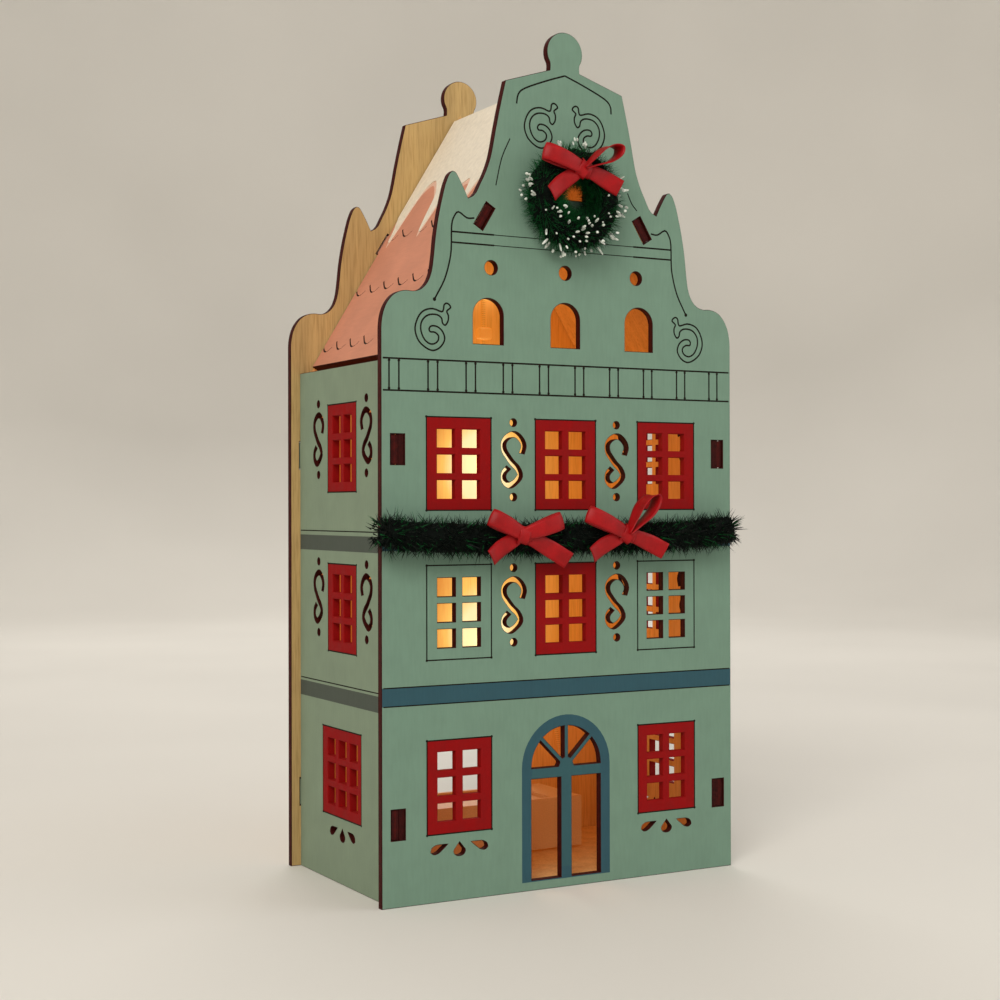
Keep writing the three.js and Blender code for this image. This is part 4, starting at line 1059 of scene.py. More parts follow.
class SheetMesh:
    """A sheet's points and faces while they are made, with each point's depth and each face's finish."""

    def __init__(self, plane, flat):
        self.plane = plane
        self.flat = flat
        self.verts = []
        self.depths = []
        self.faces = []
        self.finish_ids = []
        self.numbers = {}

    def vertex(self, corner, level, depth, place=None):
        """The number of a point under a corner, or under another place, made when it is first asked for."""
        name = (corner, level, place)
        if name not in self.numbers:
            self.numbers[name] = len(self.verts)
            self.verts.append(self.plane.point(place or self.flat[corner], level))
            self.depths.append(depth)
        return self.numbers[name]

    def add(self, corners, finish):
        """One face with the number of its finish."""
        self.faces.append(corners)
        self.finish_ids.append(finish)

    def add_faces(self, kept, inner, step):
        """Adds both faces of the sheet and the steps between its levels. Returns the border's edges."""
        across = {edge: number for number, (tri, _, _) in enumerate(kept) for edge in sides_of(tri)}
        border = {}
        thick = self.plane.thick
        for number, (tri, level, paint) in enumerate(kept):
            self.add([self.vertex(c, level, max(level, 0.0)) for c in tri], paint)
            self.add([self.vertex(c, thick, thick) for c in tri[::-1]], inner)
            for a, b in sides_of(tri):
                if (b, a) not in across:
                    border[a] = (b, number)
                    continue
                low = kept[across[(b, a)]][1]
                if low > level:
                    top = [self.vertex(c, level, 0.0) for c in (b, a)]
                    foot = [self.vertex(c, low, max(low, 0.0)) for c in (a, b)]
                    self.add(top + foot, paint if level < 0 else step)
        return border

    def add_cut_edges(self, kept, border, arris, wall_of):
        """Adds the cut edges, with an arris at each face. wall_of gives the finish at a place on them."""
        thick = self.plane.thick
        before = {b: a for a, (b, _) in border.items()}
        outward = {}
        for a, (b, _) in border.items():
            if a in before:
                outward[a] = mitred(self.flat[before[a]], self.flat[a], self.flat[b], -arris).freeze()
        for a, (b, number) in border.items():
            if a not in outward or b not in outward:
                continue
            _, level, paint = kept[number]
            face = max(level, 0.0)
            wall = wall_of((self.flat[a] + self.flat[b]) / 2)
            rings = [[self.vertex(c, level, face) for c in (a, b)],
                     [self.vertex(c, face + arris, arris, outward[c]) for c in (a, b)],
                     [self.vertex(c, thick - arris, thick - arris, outward[c]) for c in (a, b)],
                     [self.vertex(c, thick, thick) for c in (a, b)]]
            finishes = (wall if level >= 0 else paint, wall, wall)
            for finish, high, low in zip(finishes, rings, rings[1:]):
                self.add([high[1], high[0], low[0], low[1]], finish)


def sheet_piece(name, node, plane, base, regions=(), lines=(), raised=None, reshape=None):
    """A sheet of plywood around its solid's outlines, with paint, burnt lines, arrises and cut edges.

    regions are pairs of outline and finish, lines are outlines that are cut in, raised is one outline that is
    painted thick, and reshape moves the points of the solid's outlines.
    """
    arris = setting("house_lines").arris / MM
    line_depth = setting("house_lines").depth / MM
    cut = cut_outlines(node, plane, arris, reshape)
    shapes = cut + [outline for outline, _ in regions] + list(lines)
    finishes = list(dict.fromkeys([base, "lit", "burnt", "line"] + [finish for _, finish in regions]))

    # Level and finish inside each outline, where the last one counts and a hole has none
    looks = [(0.0, base)] + [None] * (len(cut) - 1)
    looks += [(0.0, finish) for _, finish in regions]
    looks += [(line_depth, "line")] * len(lines)
    if raised:
        shapes.append(raised)
        finishes.append("snow")
        looks.append((-SNOW_THICK, "snow"))

    flat, tris, owners = cut_up(shapes)
    kept = []
    for tri, owner in zip(tris, owners):
        if 0 in owner and all(looks[o] for o in owner):
            level, paint = looks[max(owner)]
            kept.append((list(tri), level, finishes.index(paint)))

    def wall_of(place):
        """Red paint in the cuts of a red window, and burnt wood in all others."""
        red = any(finish == "red" and inside(place, outline) for outline, finish in regions)
        return finishes.index("red" if red else "burnt")

    sheet = SheetMesh(plane, flat)
    border = sheet.add_faces(kept, finishes.index("lit"), finishes.index("line"))
    sheet.add_cut_edges(kept, border, arris, wall_of)
    return new_piece(name, sheet.verts, sheet.faces, finishes, sheet.finish_ids, depth=sheet.depths)


# What is burnt and painted on each sheet

def brick_lines(width):
    """The course of standing bricks: two long lines, and pairs of short ones with darker ends."""
    wide = abs(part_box("front_panel")[0].x) / MM - LINE_MARGIN
    made = [straight_line((-wide, z), (wide, z), width) for z in (BRICK_TOP, BRICK_FOOT)]
    for k in range(BRICK_PAIRS):
        for side in (-1, 1):
            x = BRICK_FIRST + BRICK_PITCH * k + side * BRICK_GAP / 2
            made.append(straight_line((x, BRICK_FOOT), (x, BRICK_TOP), width))
            for z in (BRICK_FOOT + BRICK_DOT_INSET, BRICK_TOP - BRICK_DOT_INSET):
                made.append(dot(x, z, BRICK_DOT))
    return made


def frame_lines(left, right, foot, top, width):
    """The burnt outline of a window, with its corners marked darker."""
    inner = rectangle(left, right, foot, top)
    sides = [stroke([a, b], width) for a, b in sides_of(inner)]
    return sides + [dot(p.x, p.y, WINDOW_DOT) for p in inner]


def scroll_lines(width):
    """The four leaf scrolls of the gable."""
    made = []
    for shift in ((0.0, 0.0), SCROLL_SHIFT):
        right = [Vector((x + shift[0], z + shift[1])) for x, z in SCROLL]
        line = catmull(right, CURVE_STEPS, closed=True)
        for mirror in (1, -1):
            made += strokes([Vector((p.x * mirror, p.y)) for p in line], width, closed=True)
    return made


def gable_lines(width):
    """The chevron, the contours, the cornice and the long curves down to the shoulders."""
    apex = len(CHEVRON) // 2
    made = []
    for half in (CHEVRON[:apex + 1], CHEVRON[apex:]):
        made += strokes(catmull(half, CURVE_STEPS), width)
    for contour in CONTOURS:
        made += strokes(catmull(contour, CURVE_STEPS), width * THIN_LINE)
    for side in (-1, 1):
        made += strokes(catmull([(x * side, z) for x, z in SHOULDER_LINE], CURVE_STEPS), width)
        made.append(dot(SHOULDER_LINE[-1][0] * side, SHOULDER_LINE[-1][1], SHOULDER_DOT))
    for z in CORNICE_LINES:
        made.append(straight_line((-CORNICE_HALF_WIDTH, z), (-CORNICE_FAINT_HALF, z), width))
        made.append(straight_line((CORNICE_FAINT_HALF, z), (CORNICE_HALF_WIDTH, z), width))
        made.append(straight_line((-CORNICE_FAINT_HALF, z), (CORNICE_FAINT_HALF, z), width * FAINT_LINE))
    return made


def window_box(column, row):
    """The painted rectangle of a front window."""
    middle = WINDOW_COLUMNS[column]
    foot, top = FRONT_ROWS[row]
    return middle - WINDOW_HALF_WIDTH, middle + WINDOW_HALF_WIDTH, foot, top


def front_sheet():
    """The painted front: teal, with red windows, blue door and bands, bricks and scrolls."""
    width = setting("house_lines").width / MM
    plane = Plane((0, FRONT_FACE, 0), (1, 0, 0), (0, 0, 1))
    wide = abs(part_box("front_panel")[0].x) / MM + 1
    regions = [(rectangle(-wide, wide, foot, top), "blue") for foot, top in FRONT_BANDS]
    lines = brick_lines(width) + scroll_lines(width) + gable_lines(width)
    for column, row in sorted(RED_WINDOWS | BARE_WINDOWS):
        place = window_box(column, row)
        if (column, row) in RED_WINDOWS:
            regions.append((rectangle(*place), "red"))
        lines += frame_lines(*place, width * FRAME_LINE)
    regions.append((arched(DOOR_HALF_WIDTH, DOOR_FOOT, DOOR_SPRING), "blue"))
    regions.append((arched(DOOR_HALF_WIDTH - DOOR_FRAME, DOOR_FOOT + DOOR_FRAME, DOOR_SPRING), "fanlight"))
    ends = wide - FRONT_LINE_INSET
    for z in FRONT_BANDS[0]:
        lines.append(straight_line((-ends, z), (ends, z), width * THIN_LINE))
    return sheet_piece("painted_front", "front_panel", plane, "teal", regions, lines)


def back_sheet():
    """The plain back with its arched opening."""
    plane = Plane((0, BACK_FACE, 0), (-1, 0, 0), (0, 0, 1))
    return sheet_piece("plain_back", "back_panel", plane, "ply")


def side_sheet(side):
    """A painted side wall; side is -1 on the left and 1 on the right."""
    name = "left" if side < 0 else "right"
    width = setting("house_lines").width / MM
    plane = Plane((side * WALL_FACE, 0, 0), (0, side, 0), (0, 0, 1))
    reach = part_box(f"{name}_wall")[1].y / MM + 1
    ends = reach - SIDE_LINE_INSET
    regions = [(rectangle(-reach, reach, foot, top), "band") for foot, top in SIDE_BANDS]
    lines = [straight_line((-ends, z), (ends, z), width * THIN_LINE) for z in SIDE_BAND_LINES]
    for near, far, foot, top in SIDE_WINDOWS:
        left, right = sorted((near * side, far * side))
        regions.append((rectangle(left, right, foot, top), "red"))
        lines += frame_lines(left, right, foot, top, width * FRAME_LINE)
    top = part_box(f"{name}_wall")[1].z / MM

    def lifted(point):
        """A point of the wall's top moved up to the eave, and any other point as it is."""
        return point + Vector((0, WALL_OVER)) if point.y > top - WALL_TOP_REACH else point

    return sheet_piece(f"painted_{name}_wall", f"{name}_wall", plane, "side", regions, lines, reshape=lifted)


def painted_shade_in_slots():
    """Dark blocks of burnt edge that fill the slots beside the walls' tenons to their inner edges: painted
    shade in their gaps.
    """
    verts = []
    faces = []
    outer = WALL_FACE - SHEET
    for side in (-1, 1):
        for end in (-1, 1):
            for middle in TENON_HEIGHTS:
                first = len(verts)
                for x in (outer - TENON_SPARE, outer):
                    for y in (BACK_FACE - SHEET + TENON_START, BACK_FACE - TENON_SHY):
                        for z in (middle - TENON_LENGTH / 2, middle + TENON_LENGTH / 2):
                            verts.append((side * x, end * y, z))
                for face in BOX_FACES:
                    corners = [first + k for k in face]
                    faces.append(corners if side * end > 0 else corners[::-1])
    return new_piece("painted_shade_in_slots", verts, faces, ["burnt"])


def shingle_marks(width, length, side):
    """Rows of burnt scallops up the roof: each falls in a dark stroke and rises again in a faint one."""
    made = []
    for row in range(MARK_ROWS):
        foot = MARK_FIRST + MARK_PITCH_UP * row
        for k in range(MARK_COUNT):
            y = MARK_FIRST_ALONG + MARK_PITCH_ALONG * k - MARK_ROW_SHIFT * row
            for shape, share in MARK_STROKES:
                line = catmull([((y - back) * side, foot + up) for back, up in shape], DRIP_STEPS)
                line = [p for p in line if abs(p.x) < length - LINE_MARGIN]
                if len(line) > 2:
                    made += strokes(line, width * share)
    return made


def roof_sheet(side):
    """A pink roof with burnt shingle marks and a painted snow edge that drips from the ridge."""
    name = "left" if side < 0 else "right"
    width = setting("house_lines").width / MM
    up = (-side * math.cos(ROOF_PITCH), 0, math.sin(ROOF_PITCH))
    plane = Plane((side * ROOF_EAVE_X, 0, ROOF_EAVE_Z), (0, side, 0), up)
    outline = face_outlines(f"{name}_roof", plane)[0]
    length = max(abs(p.x) for p in outline)
    ridge = max(p.y for p in outline)
    body_length = SNOW_EDGE[-1][0]
    edge = catmull([Vector((y * side, s)) for y, s in SNOW_EDGE], DRIP_STEPS)
    edge = [Vector((max(-body_length, min(body_length, p.x)), p.y)) for p in edge]
    edge = [Vector((p.x * (body_length - SNOW_MARGIN) / body_length, p.y)) for p in edge]
    snow = edge + [Vector((edge[i].x, ridge - SNOW_MARGIN)) for i in (-1, 0)]
    marks = [mark for mark in shingle_marks(width, length, side) if not any(inside(p, snow) for p in mark)]
    thin = [Vector((p.x, p.y - SNOW_THIN)) for p in edge] + snow[-2:]
    return sheet_piece(f"painted_{name}_roof", f"{name}_roof", plane, "pink", [(thin, "thin")], marks, snow)


def ridge_height(x, top):
    """Height of the painted ridge over the roofs at a distance from the middle, with its tip rounded off."""
    return min(ROOF_PEAK - x * math.tan(ROOF_PITCH), top + RIDGE_TIP - RIDGE_ROUND * x * x)


def ridge_snow():
    """A soft ridge of white paint that fills the gap between the two roofs."""
    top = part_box("left_roof")[1].z / MM
    length = SNOW_EDGE[-1][0] - RIDGE_MARGIN
    rng = random.Random(5)
    rims = (0, len(RIDGE_SECTION) - 1)
    verts = []
    for i in range(RIDGE_RINGS + 1):
        y = -length + 2 * length * i / RIDGE_RINGS
        for k, x in enumerate(RIDGE_SECTION):
            over = RIDGE_RIM if k in rims else RIDGE_BACK + RIDGE_LUMPS * rng.random()
            reach = x * (1 + RIDGE_WANDER * (rng.random() - 0.5))
            verts.append((reach, y, ridge_height(abs(reach), top) + over))
        for x in RIDGE_SECTION[::-1]:
            verts.append((x, y, ridge_height(abs(x), top) - RIDGE_UNDER))
    faces = tube_faces(0, RIDGE_RINGS + 1, 2 * len(RIDGE_SECTION))
    return new_piece("ridge_paint", verts, [f[::-1] for f in faces], ["snow"], smooth=True)


# Bristles and ribbon

def spoke(side, other, angle):
    """The way from an axis at an angle, where side and other are across it."""
    return side * math.cos(angle) + other * math.sin(angle)


def bristle(verts, faces, root, tip, width, turn):
    """Adds one thin three-sided bristle."""
    run = (tip - root).normalized()
    side = run.orthogonal().normalized()
    other = run.cross(side)
    first = len(verts)
    for k in range(BRISTLE_SIDES):
        verts.append(root + spoke(side, other, turn + 2 * math.pi * k / BRISTLE_SIDES) * width / 2)
    verts.append(tip)
    for k in range(BRISTLE_SIDES):
        faces.append([first + k, first + (k + 1) % BRISTLE_SIDES, first + BRISTLE_SIDES])


def fleck(verts, faces, middle, run, length, width):
    """Adds a frosted fleck: a small six-sided rod with blunt tapered ends."""
    run = run.normalized()
    side = run.orthogonal().normalized()
    other = run.cross(side)
    first = len(verts)
    for place, share in FLECK_SECTION:
        for k in range(FLECK_SIDES):
            around = spoke(side, other, 2 * math.pi * k / FLECK_SIDES) * (width / 2 * max(share, FLECK_LEAST))
            verts.append(middle + run * (place * length) + around)
    faces += tube_faces(first, len(FLECK_SECTION), FLECK_SIDES)


def core_tube(verts, faces, spine, radius, closed, rng):
    """Adds the dense middle of a bristle rope: a tube with a ragged skin, darker than the bristles as painted
    shade.
    """
    first = len(verts)
    for place, run, grow in spine:
        other = run.cross(FORWARD).normalized()
        for k in range(CORE_SIDES):
            reach = radius * grow * rng.uniform(*CORE_ROUGH)
            point = place + spoke(FORWARD, other, 2 * math.pi * k / CORE_SIDES) * reach
            verts.append(Vector((point.x, min(point.y, FRONT_FACE - CORE_CLEAR), point.z)))
    faces += tube_faces(first, len(spine), CORE_SIDES, closed)


def keep_before_front(root, tip, rng):
    """Moves a bristle's two ends out of the front panel."""
    if tip.y > FRONT_FACE - TIP_CLEAR:
        tip.y = FRONT_FACE - TIP_CLEAR - rng.random() * TIP_SCATTER
    root.y = min(root.y, FRONT_FACE - ROOT_CLEAR)


def near_bow(point, margin):
    """True if a bow's arm lies over the point, or within the margin of it, as seen from the front."""
    for bow in BOWS.values():
        middle = Vector(bow["middle"])
        away = Vector((point.x, point.z)) - middle
        for arm in bow["face_loops"] + bow["edge_loops"] + bow["tails"]:
            run = Vector(arm) * RIBBON_WIDTH
            share = max(0.0, min(1.0, away.dot(run) / run.dot(run)))
            if (away - run * share).length < RIBBON_WIDTH / 2 + margin:
                return True
    return False


def behind_bows(point):
    """The point, drawn back behind the plane of the bows where one lies over it."""
    if near_bow(point, RIBBON_CLEAR):
        point.y = max(point.y, BOW_BACK)
    return point


def wreath_middle():
    """The middle of the wreath, from the solid that it replaces."""
    low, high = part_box("wreath")
    return Vector(((low.x + high.x) / 2 / MM, FRONT_FACE - TIP_CLEAR - ROPE_OUT, (low.z + high.z) / 2 / MM))


def wreath_axes(angle):
    """The way out of the wreath's ring at an angle, and the way along it."""
    return Vector((math.cos(angle), 0, math.sin(angle))), Vector((-math.sin(angle), 0, math.cos(angle)))


def wreath_spine(middle):
    """Places around the wreath's ring, with its run and its thickness."""
    spine = []
    for i in range(WREATH_RINGS):
        out, run = wreath_axes(2 * math.pi * i / WREATH_RINGS)
        spine.append((middle + out * WREATH_RING, run, 1.0))
    return spine


def wreath_bristle(verts, faces, middle, width, rng):
    """Adds one bristle of the wreath, a third of them on its inner side, and returns its finish's number."""
    angle = rng.uniform(0, 2 * math.pi)
    inner = rng.random() < WREATH_INNER
    around = math.pi - rng.uniform(-0.2, 0.9) if inner else rng.uniform(0, 2 * math.pi)
    out, run = wreath_axes(angle)
    away = spoke(out, FORWARD, around)
    lean = run * rng.uniform(-0.55, 0.55) + FORWARD * rng.uniform(0, 0.25)
    reach = WREATH_REACH * (0.74 + 0.26 * rng.random() ** 0.7)
    reach *= 1 + 0.1 * max(0.0, -math.cos(around)) + 0.05 * max(0.0, -math.sin(angle))
    root = middle + out * WREATH_RING + away * WREATH_ROOT
    tip = middle + out * WREATH_RING + (away + lean).normalized() * reach
    keep_before_front(root, tip, rng)
    bristle(verts, faces, root, behind_bows(tip), width, rng.uniform(0, 2))
    # Painted shade: fewer green and more dark bristles towards the lower right, the side away from the key
    # light
    green_share_with_painted_shade = 0.72 - 0.28 * math.cos(angle + 0.6)
    return 0 if rng.random() < green_share_with_painted_shade else 1


def wreath_fleck(verts, faces, middle, rng):
    """Adds one frosted fleck, more often low on the wreath, unless a ribbon lies over its place."""
    low = rng.random() < 0.6
    angle = rng.uniform(math.pi * 0.85, math.pi * 2.1) if low else rng.uniform(0, 2 * math.pi)
    around = rng.uniform(-0.2, 2.3 if math.sin(angle) < 0.1 else 0.5)
    out, run = wreath_axes(angle)
    away = spoke(out, FORWARD, around)
    place = middle + out * WREATH_RING + away * rng.uniform(*FLECK_OUT)
    if near_bow(place, FLECK_CLEAR):
        return
    lean = away + run * rng.uniform(-0.5, 0.5)
    long = rng.random() < 0.3
    length = rng.uniform(*FLECK_LONG) if long else rng.uniform(*FLECK_SHORT)
    fleck(verts, faces, place, lean, length, rng.uniform(*FLECK_WIDTH))


def bristle_wreath():
    """A ring of green bristles on twisted wire, thicker at its foot, with frosted flecks."""
    trim = setting("house_trim")
    rng = random.Random(11)
    middle = wreath_middle()
    verts = []
    faces = []
    core_tube(verts, faces, wreath_spine(middle), WREATH_CORE, True, rng)
    finish_ids = [3] * len(faces)
    for _ in range(trim.wreath_bristles):
        finish = wreath_bristle(verts, faces, middle, trim.bristle_width / MM, rng)
        finish_ids += [finish] * BRISTLE_SIDES
    for _ in range(FLECKS):
        wreath_fleck(verts, faces, middle, rng)
    finish_ids += [2] * (len(faces) - len(finish_ids))
    return new_piece("bristle_wreath", verts, faces, ["green", "dark", "frost", "core"], finish_ids)


def garland_spine():
    """Places along the garland, with its run and its thickness, from the solid that it replaces."""
    low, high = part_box("garland")
    left, right = low.x / MM + GARLAND_ENDS[0], high.x / MM - GARLAND_ENDS[1]
    half = (right - left) / 2
    y = FRONT_FACE - TIP_CLEAR - ROPE_OUT
    spine = []
    for i in range(GARLAND_RINGS + 1):
        s = 2 * i / GARLAND_RINGS - 1
        place = Vector(((left + right) / 2 + half * s, y, GARLAND_LEVEL + GARLAND_RISE * s ** 4))
        run = Vector((half, 0, 4 * GARLAND_RISE * s ** 3)).normalized()
        ends = min(1.0, 0.72 + 6 * (1 - abs(s)))
        spine.append((place, run, ends))
    return spine


def garland_bristle(verts, faces, spine, ends, width, rng):
    """Adds one bristle of the garland, longer in a tuft, and returns the number of its finish."""
    at = rng.uniform(0, len(spine) - 1)
    place, run, grow = spine[int(at)]
    place = place + run * rng.uniform(-0.7, 0.7)
    around = rng.uniform(0, 2 * math.pi)
    away = spoke(FORWARD, run.cross(FORWARD).normalized(), around)
    lean = run * rng.uniform(-0.75, 0.75)
    tuft = 0.88 + 0.15 * math.sin(at * 1.9 + 2.3 * math.sin(around)) + 0.09 * math.sin(at * 4.3 + around)
    reach = GARLAND_REACH * grow * tuft * (0.72 + 0.28 * rng.random())
    root = place + away * GARLAND_ROOT
    tip = place + (away + lean).normalized() * reach
    keep_before_front(root, tip, rng)
    tip.x = max(ends[0], min(ends[1], tip.x))
    bristle(verts, faces, root, behind_bows(tip), width, rng.uniform(0, 2))
    return 0 if rng.random() < 0.86 else 1


def bristle_garland():
    """A rope of dark bristles along the front, ragged, thinner at its ends."""
    trim = setting("house_trim")
    rng = random.Random(23)
    verts = []
    faces = []
    spine = garland_spine()
    low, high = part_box("garland")
    ends = (low.x / MM - GARLAND_RAGGED, high.x / MM + GARLAND_RAGGED)
    width = trim.bristle_width / MM * GARLAND_BRISTLE
    core_tube(verts, faces, spine[2:-2], GARLAND_CORE, False, rng)
    finish_ids = [2] * len(faces)
    for _ in range(trim.garland_bristles):
        finish = garland_bristle(verts, faces, spine, ends, width, rng)
        finish_ids += [finish] * BRISTLE_SIDES
    return new_piece("bristle_garland", verts, faces, ["dark", "green", "core"], finish_ids)


def ribbon_strap(verts, faces, stations):
    """Adds a strap of ribbon through stations of place, across direction and share of the full width."""
    first = len(verts)
    count = len(stations)
    places = [s[0] for s in stations]
    for i, (place, across, share) in enumerate(stations):
        run = (places[min(i + 1, count - 1)] - places[max(i - 1, 0)]).normalized()
        across = (across - run * across.dot(run)).normalized()
        out = run.cross(across).normalized()
        for face in (1, -1):
            for k in range(RIBBON_STEPS + 1):
                t = (k / RIBBON_STEPS - 0.5) * face
                lift = RIBBON_CROWN * (1 - (2 * t) ** 2) * share + face * RIBBON_THICK / 2
                verts.append(place + across * (t * RIBBON_WIDTH * share) + out * lift)
    faces += tube_faces(first, count, 2 * (RIBBON_STEPS + 1))


def along(points, steps=6):
    """Smooth stations through points of place, across direction and share."""
    places = catmull([p[0] for p in points], steps)
    acrosses = catmull([p[1] for p in points], steps)
    shares = catmull([(p[2], 0, 0) for p in points], steps)
    return [(place, side.normalized(), share.x) for place, side, share in zip(places, acrosses, shares)]


def bow_axes(arm):
    """The way an arm of a bow runs in the plane of the front, its side and its length in mm."""
    run = Vector((arm[0], 0, arm[1])) * RIBBON_WIDTH
    length = run.length
    run = run.normalized()
    return run, Vector((-run.z, 0, run.x)), length


def face_loop(centre, arm):
    """A loop that lies flat against the rope, one layer over the other, with a round fold at its tip."""
    run, side, length = bow_axes(arm)
    points = [(centre + run * (length * t) + FORWARD * lift, side, share) for t, lift, share in FACE_LOOP]
    return along(points)


def edge_loop(centre, arm):
    """A loop that stands on its edge, so that its opening shows from the front."""
    run, side, length = bow_axes(arm)
    points = []
    for t, wide, share in EDGE_LOOP:
        lift = EDGE_LOOP_OUT - EDGE_LOOP_FALL * t
        place = centre + run * (length * t) + side * wide + FORWARD * lift
        points.append((place, FORWARD + EDGE_LOOP_TURN, share))
    return along(points)


def tail(centre, arm, curl):
    """A loose end that widens from the knot and bends a little."""
    run, side, length = bow_axes(arm)
    points = []
    for t, lift, drift, share in TAIL:
        place = centre + run * (length * t) + FORWARD * lift + side * (drift * curl)
        points.append((place, side + FORWARD * (0.25 * curl * t), share))
    return along(points)


def knot(centre, lean):
    """The knot: ribbon wound twice round the middle, a little askew."""
    wraps = []
    for turn, share, grow in KNOT_WRAPS:
        tilt = lean + turn
        up = Vector((math.sin(tilt), 0, math.cos(tilt)))
        across = Vector((math.cos(tilt), 0, -math.sin(tilt)))
        points = []
        for k in range(KNOT_POINTS + 1):
            angle = -math.pi * 0.5 + math.pi * k / KNOT_POINTS
            lift = KNOT_OUT + KNOT_DEPTH * grow * math.cos(angle)
            bulge = up * (KNOT_HALF_HEIGHT * grow * math.sin(angle)) + FORWARD * lift
            points.append((centre + bulge, across, share))
        wraps.append(along(points, KNOT_STEPS))
    return wraps


def ribbon_bow(node, bow):
    """A satin bow: loops, tails and a knot of one ribbon."""
    centre_x, centre_z = bow["middle"]
    centre = Vector((centre_x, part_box(node)[1].y / MM, centre_z))
    straps = []
    for number, arm in enumerate(bow["tails"]):
        straps.append(tail(centre + FORWARD * (0.2 + 0.5 * number), arm, 1 if number else -1))
    straps += [face_loop(centre + FORWARD * 0.6, arm) for arm in bow["face_loops"]]
    straps += [edge_loop(centre + FORWARD * 0.2, arm) for arm in bow["edge_loops"]]
    straps += knot(centre, bow["lean"])
    verts = []
    faces = []
    for strap in straps:
        ribbon_strap(verts, faces, strap)
    return settle(new_piece(f"satin_{node}", verts, faces, ["ribbon"], smooth=True), [node])


def foam_piece(node):
    """A cut piece of foam tape: crowned faces and soft edges, inside its solid's box."""
    low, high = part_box(node)
    centre = (low + high) / 2 / MM
    half = (high - low) / 2 / MM
    shape = bmesh.new()
    bmesh.ops.create_cube(shape, size=2.0)
    bmesh.ops.subdivide_edges(shape, edges=shape.edges[:], cuts=FOAM_CUTS, use_grid_fill=True)
    shape.verts.ensure_lookup_table()
    verts = []
    for vertex in shape.verts:
        away = sum(abs(c) ** FOAM_SQUARENESS for c in vertex.co) ** (1 / FOAM_SQUARENESS)
        soft = vertex.co / away
        verts.append(centre + Vector((soft.x * half.x, soft.y * half.y, soft.z * half.z)))
    faces = [[vertex.index for vertex in face.verts] for face in shape.faces]
    shape.free()
    piece = new_piece(f"soft_{node}", verts, faces, ["foam"], smooth=True)
    settle(piece, [node])


# Operators

class BuildStage(bpy.types.Operator):
    """Makes the pale floor, the lights and the photograph's camera"""

    bl_idname = "house.build_stage"
    bl_label = "Stage"

    def execute(self, context):
        make_floor()
        make_lights()
        make_camera()
        return {"FINISHED"}


class BuildFront(bpy.types.Operator):
    """Makes the painted front panel"""

    bl_idname = "house.build_front"
    bl_label = "Front"

    def execute(self, context):
        settle(front_sheet(), ["front_panel"])
        return {"FINISHED"}


class BuildBack(bpy.types.Operator):
    """Makes the plain back panel and the floor sheet"""

    bl_idname = "house.build_back"
    bl_label = "Back and floor"

    def execute(self, context):
        settle(back_sheet(), ["back_panel"])
        low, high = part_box("floor_panel")
        plane = Plane((0, 0, low.z / MM), (-1, 0, 0), (0, 1, 0))
        settle(sheet_piece("floor_sheet", "floor_panel", plane, "ply"), ["floor_panel"])
        return {"FINISHED"}


class BuildWalls(bpy.types.Operator):
    """Makes the two painted side walls and the dark blocks of painted shade in their slots"""

    bl_idname = "house.build_walls"
    bl_label = "Side walls"

    def execute(self, context):
        settle(side_sheet(-1), ["left_wall"])
        settle(side_sheet(1), ["right_wall"])
        settle(painted_shade_in_slots())
        return {"FINISHED"}


class BuildRoofs(bpy.types.Operator):
    """Makes the two roofs with their painted snow"""

    bl_idname = "house.build_roofs"
    bl_label = "Roofs"

    def execute(self, context):
        settle(roof_sheet(-1), ["left_roof"])
        settle(roof_sheet(1), ["right_roof"])
        settle(ridge_snow())
        return {"FINISHED"}


class FinishInside(bpy.types.Operator):
    """Gives the lamps, the wire, the battery box and its cells their finishes"""

    bl_idname = "house.finish_inside"
    bl_label = "Lamps and battery box"

    def execute(self, context):
        for finish, names in KEPT_NODES.items():
            for name in names:
                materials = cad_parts[name].data.materials
                materials.clear()
                materials.append(finish_of(finish))
        for name in FOAM_NODES:
            foam_piece(name)
        return {"FINISHED"}


class BuildWreath(bpy.types.Operator):
    """Makes the bristle wreath"""

    bl_idname = "house.build_wreath"
    bl_label = "Wreath"

    def execute(self, context):
        settle(bristle_wreath(), ["wreath"])
        return {"FINISHED"}


class BuildGarland(bpy.types.Operator):
    """Makes the bristle garland"""

    bl_idname = "house.build_garland"
    bl_label = "Garland"

    def execute(self, context):
        settle(bristle_garland(), ["garland"])
        return {"FINISHED"}


class BuildBows(bpy.types.Operator):
    """Makes the three satin bows"""

    bl_idname = "house.build_bows"
    bl_label = "Bows"

    def execute(self, context):
        for node, bow in BOWS.items():
            ribbon_bow(node, bow)
        return {"FINISHED"}


class HousePanel(bpy.types.Panel):
    """Lists the house's pieces and their settings"""

    bl_idname = "VIEW3D_PT_lighted_house"
    bl_label = "Lighted wooden house"
    bl_space_type = "VIEW_3D"
    bl_region_type = "UI"
    bl_category = "House"

    def draw(self, context):
        for operator in OPERATORS:
            self.layout.operator(operator.bl_idname)
        for name, group in SETTINGS.items():
            box = self.layout.box()
            for field in group.__annotations__:
                box.prop(getattr(context.scene, name), field)


OPERATORS = (BuildStage, BuildFront, BuildBack, BuildWalls, BuildRoofs, FinishInside, BuildWreath,
             BuildGarland, BuildBows)


# Stage

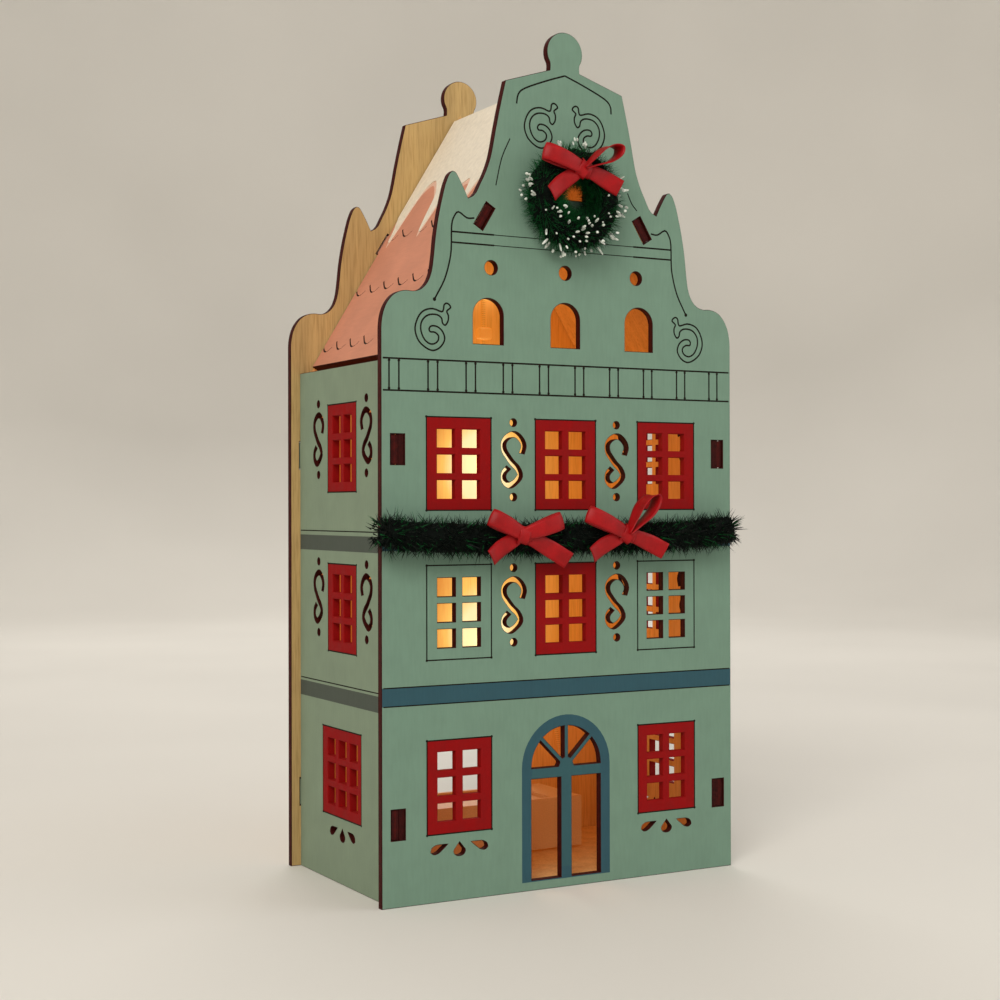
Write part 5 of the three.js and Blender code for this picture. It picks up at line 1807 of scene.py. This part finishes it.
def make_floor():
    """A round pale floor, flat to a metre and a half, that curves up to close the view behind the house."""
    profile = [(FLOOR_START, 0.0), (FLOOR_FLAT, 0.0)]
    for k in range(1, FLOOR_BEND_STEPS + 1):
        angle = math.pi / 2 * k / FLOOR_BEND_STEPS
        profile.append((FLOOR_FLAT + FLOOR_BEND * math.sin(angle), FLOOR_BEND * (1 - math.cos(angle))))
    profile.append((FLOOR_FLAT + FLOOR_BEND, FLOOR_TOP))
    verts = [Vector((0, 0, 0))]
    for radius, height in profile:
        for k in range(FLOOR_SIDES):
            angle = 2 * math.pi * k / FLOOR_SIDES
            verts.append(Vector((radius * math.cos(angle), radius * math.sin(angle), height)) / MM)
    faces = [[0, 1 + k, 1 + (k + 1) % FLOOR_SIDES] for k in range(FLOOR_SIDES)]
    for i in range(len(profile) - 1):
        for k in range(FLOOR_SIDES):
            a = 1 + i * FLOOR_SIDES + k
            b = 1 + i * FLOOR_SIDES + (k + 1) % FLOOR_SIDES
            faces.append([a, a + FLOOR_SIDES, b + FLOOR_SIDES, b])
    new_piece("pale_floor", verts, faces, ["backdrop"], smooth=True)


def area_light(name, place, size, power, colour):
    """A square soft light that points at the house."""
    light = bpy.data.lights.new(name, "AREA")
    light.size = size
    light.energy = power
    light.color = colour
    lamp = bpy.data.objects.new(name, light)
    lamp.location = place
    lamp.rotation_euler = (Vector(LIGHT_TARGET) - Vector(place)).to_track_quat("-Z", "Y").to_euler()
    bpy.context.scene.collection.objects.link(lamp)


def make_lights():
    """A large soft key from the left front, weaker lights from the right and the rear, and a soft sky."""
    for light in LIGHTS:
        area_light(*light)
    world = bpy.data.worlds.new("soft_sky")
    world.use_nodes = True
    background = world.node_tree.nodes["Background"]
    background.inputs["Color"].default_value = linear("#f4f0ea")
    background.inputs["Strength"].default_value = SKY_STRENGTH
    bpy.context.scene.world = world
    bpy.context.scene.view_settings.view_transform = "Standard"


def make_camera():
    """The photograph's camera."""
    yaw, pitch, roll = (math.radians(a) for a in (CAMERA_YAW, CAMERA_PITCH, CAMERA_ROLL))
    ahead = Vector((math.sin(yaw) * math.cos(pitch), math.cos(yaw) * math.cos(pitch), math.sin(pitch)))
    right = Vector((math.cos(yaw), -math.sin(yaw), 0))
    up = right.cross(ahead)
    leant_right = right * math.cos(roll) + up * math.sin(roll)
    leant_up = up * math.cos(roll) - right * math.sin(roll)
    turn = Matrix((leant_right, leant_up, -ahead)).transposed()
    data = bpy.data.cameras.new("photo_camera")
    data.lens = CAMERA_LENS
    data.sensor_width = CAMERA_SENSOR
    data.clip_start = 0.01
    camera = bpy.data.objects.new("photo_camera", data)
    camera.matrix_world = Matrix.Translation(CAMERA_PLACE) @ turn.to_4x4()
    bpy.context.scene.collection.objects.link(camera)
    bpy.context.scene.camera = camera


def register():
    """Registers the settings, the operators and the panel."""
    for name, group in SETTINGS.items():
        bpy.utils.register_class(group)
        setattr(bpy.types.Scene, name, bpy.props.PointerProperty(type=group))
    for operator in OPERATORS:
        bpy.utils.register_class(operator)
    bpy.utils.register_class(HousePanel)


def unregister():
    """Takes them all off again."""
    bpy.utils.unregister_class(HousePanel)
    for operator in reversed(OPERATORS):
        bpy.utils.unregister_class(operator)
    for name, group in SETTINGS.items():
        delattr(bpy.types.Scene, name)
        bpy.utils.unregister_class(group)


def main():
    """Builds the whole house."""
    register()
    for operator in OPERATORS:
        section, action = operator.bl_idname.split(".")
        getattr(getattr(bpy.ops, section), action)()


if __name__ == "__main__":
    main()
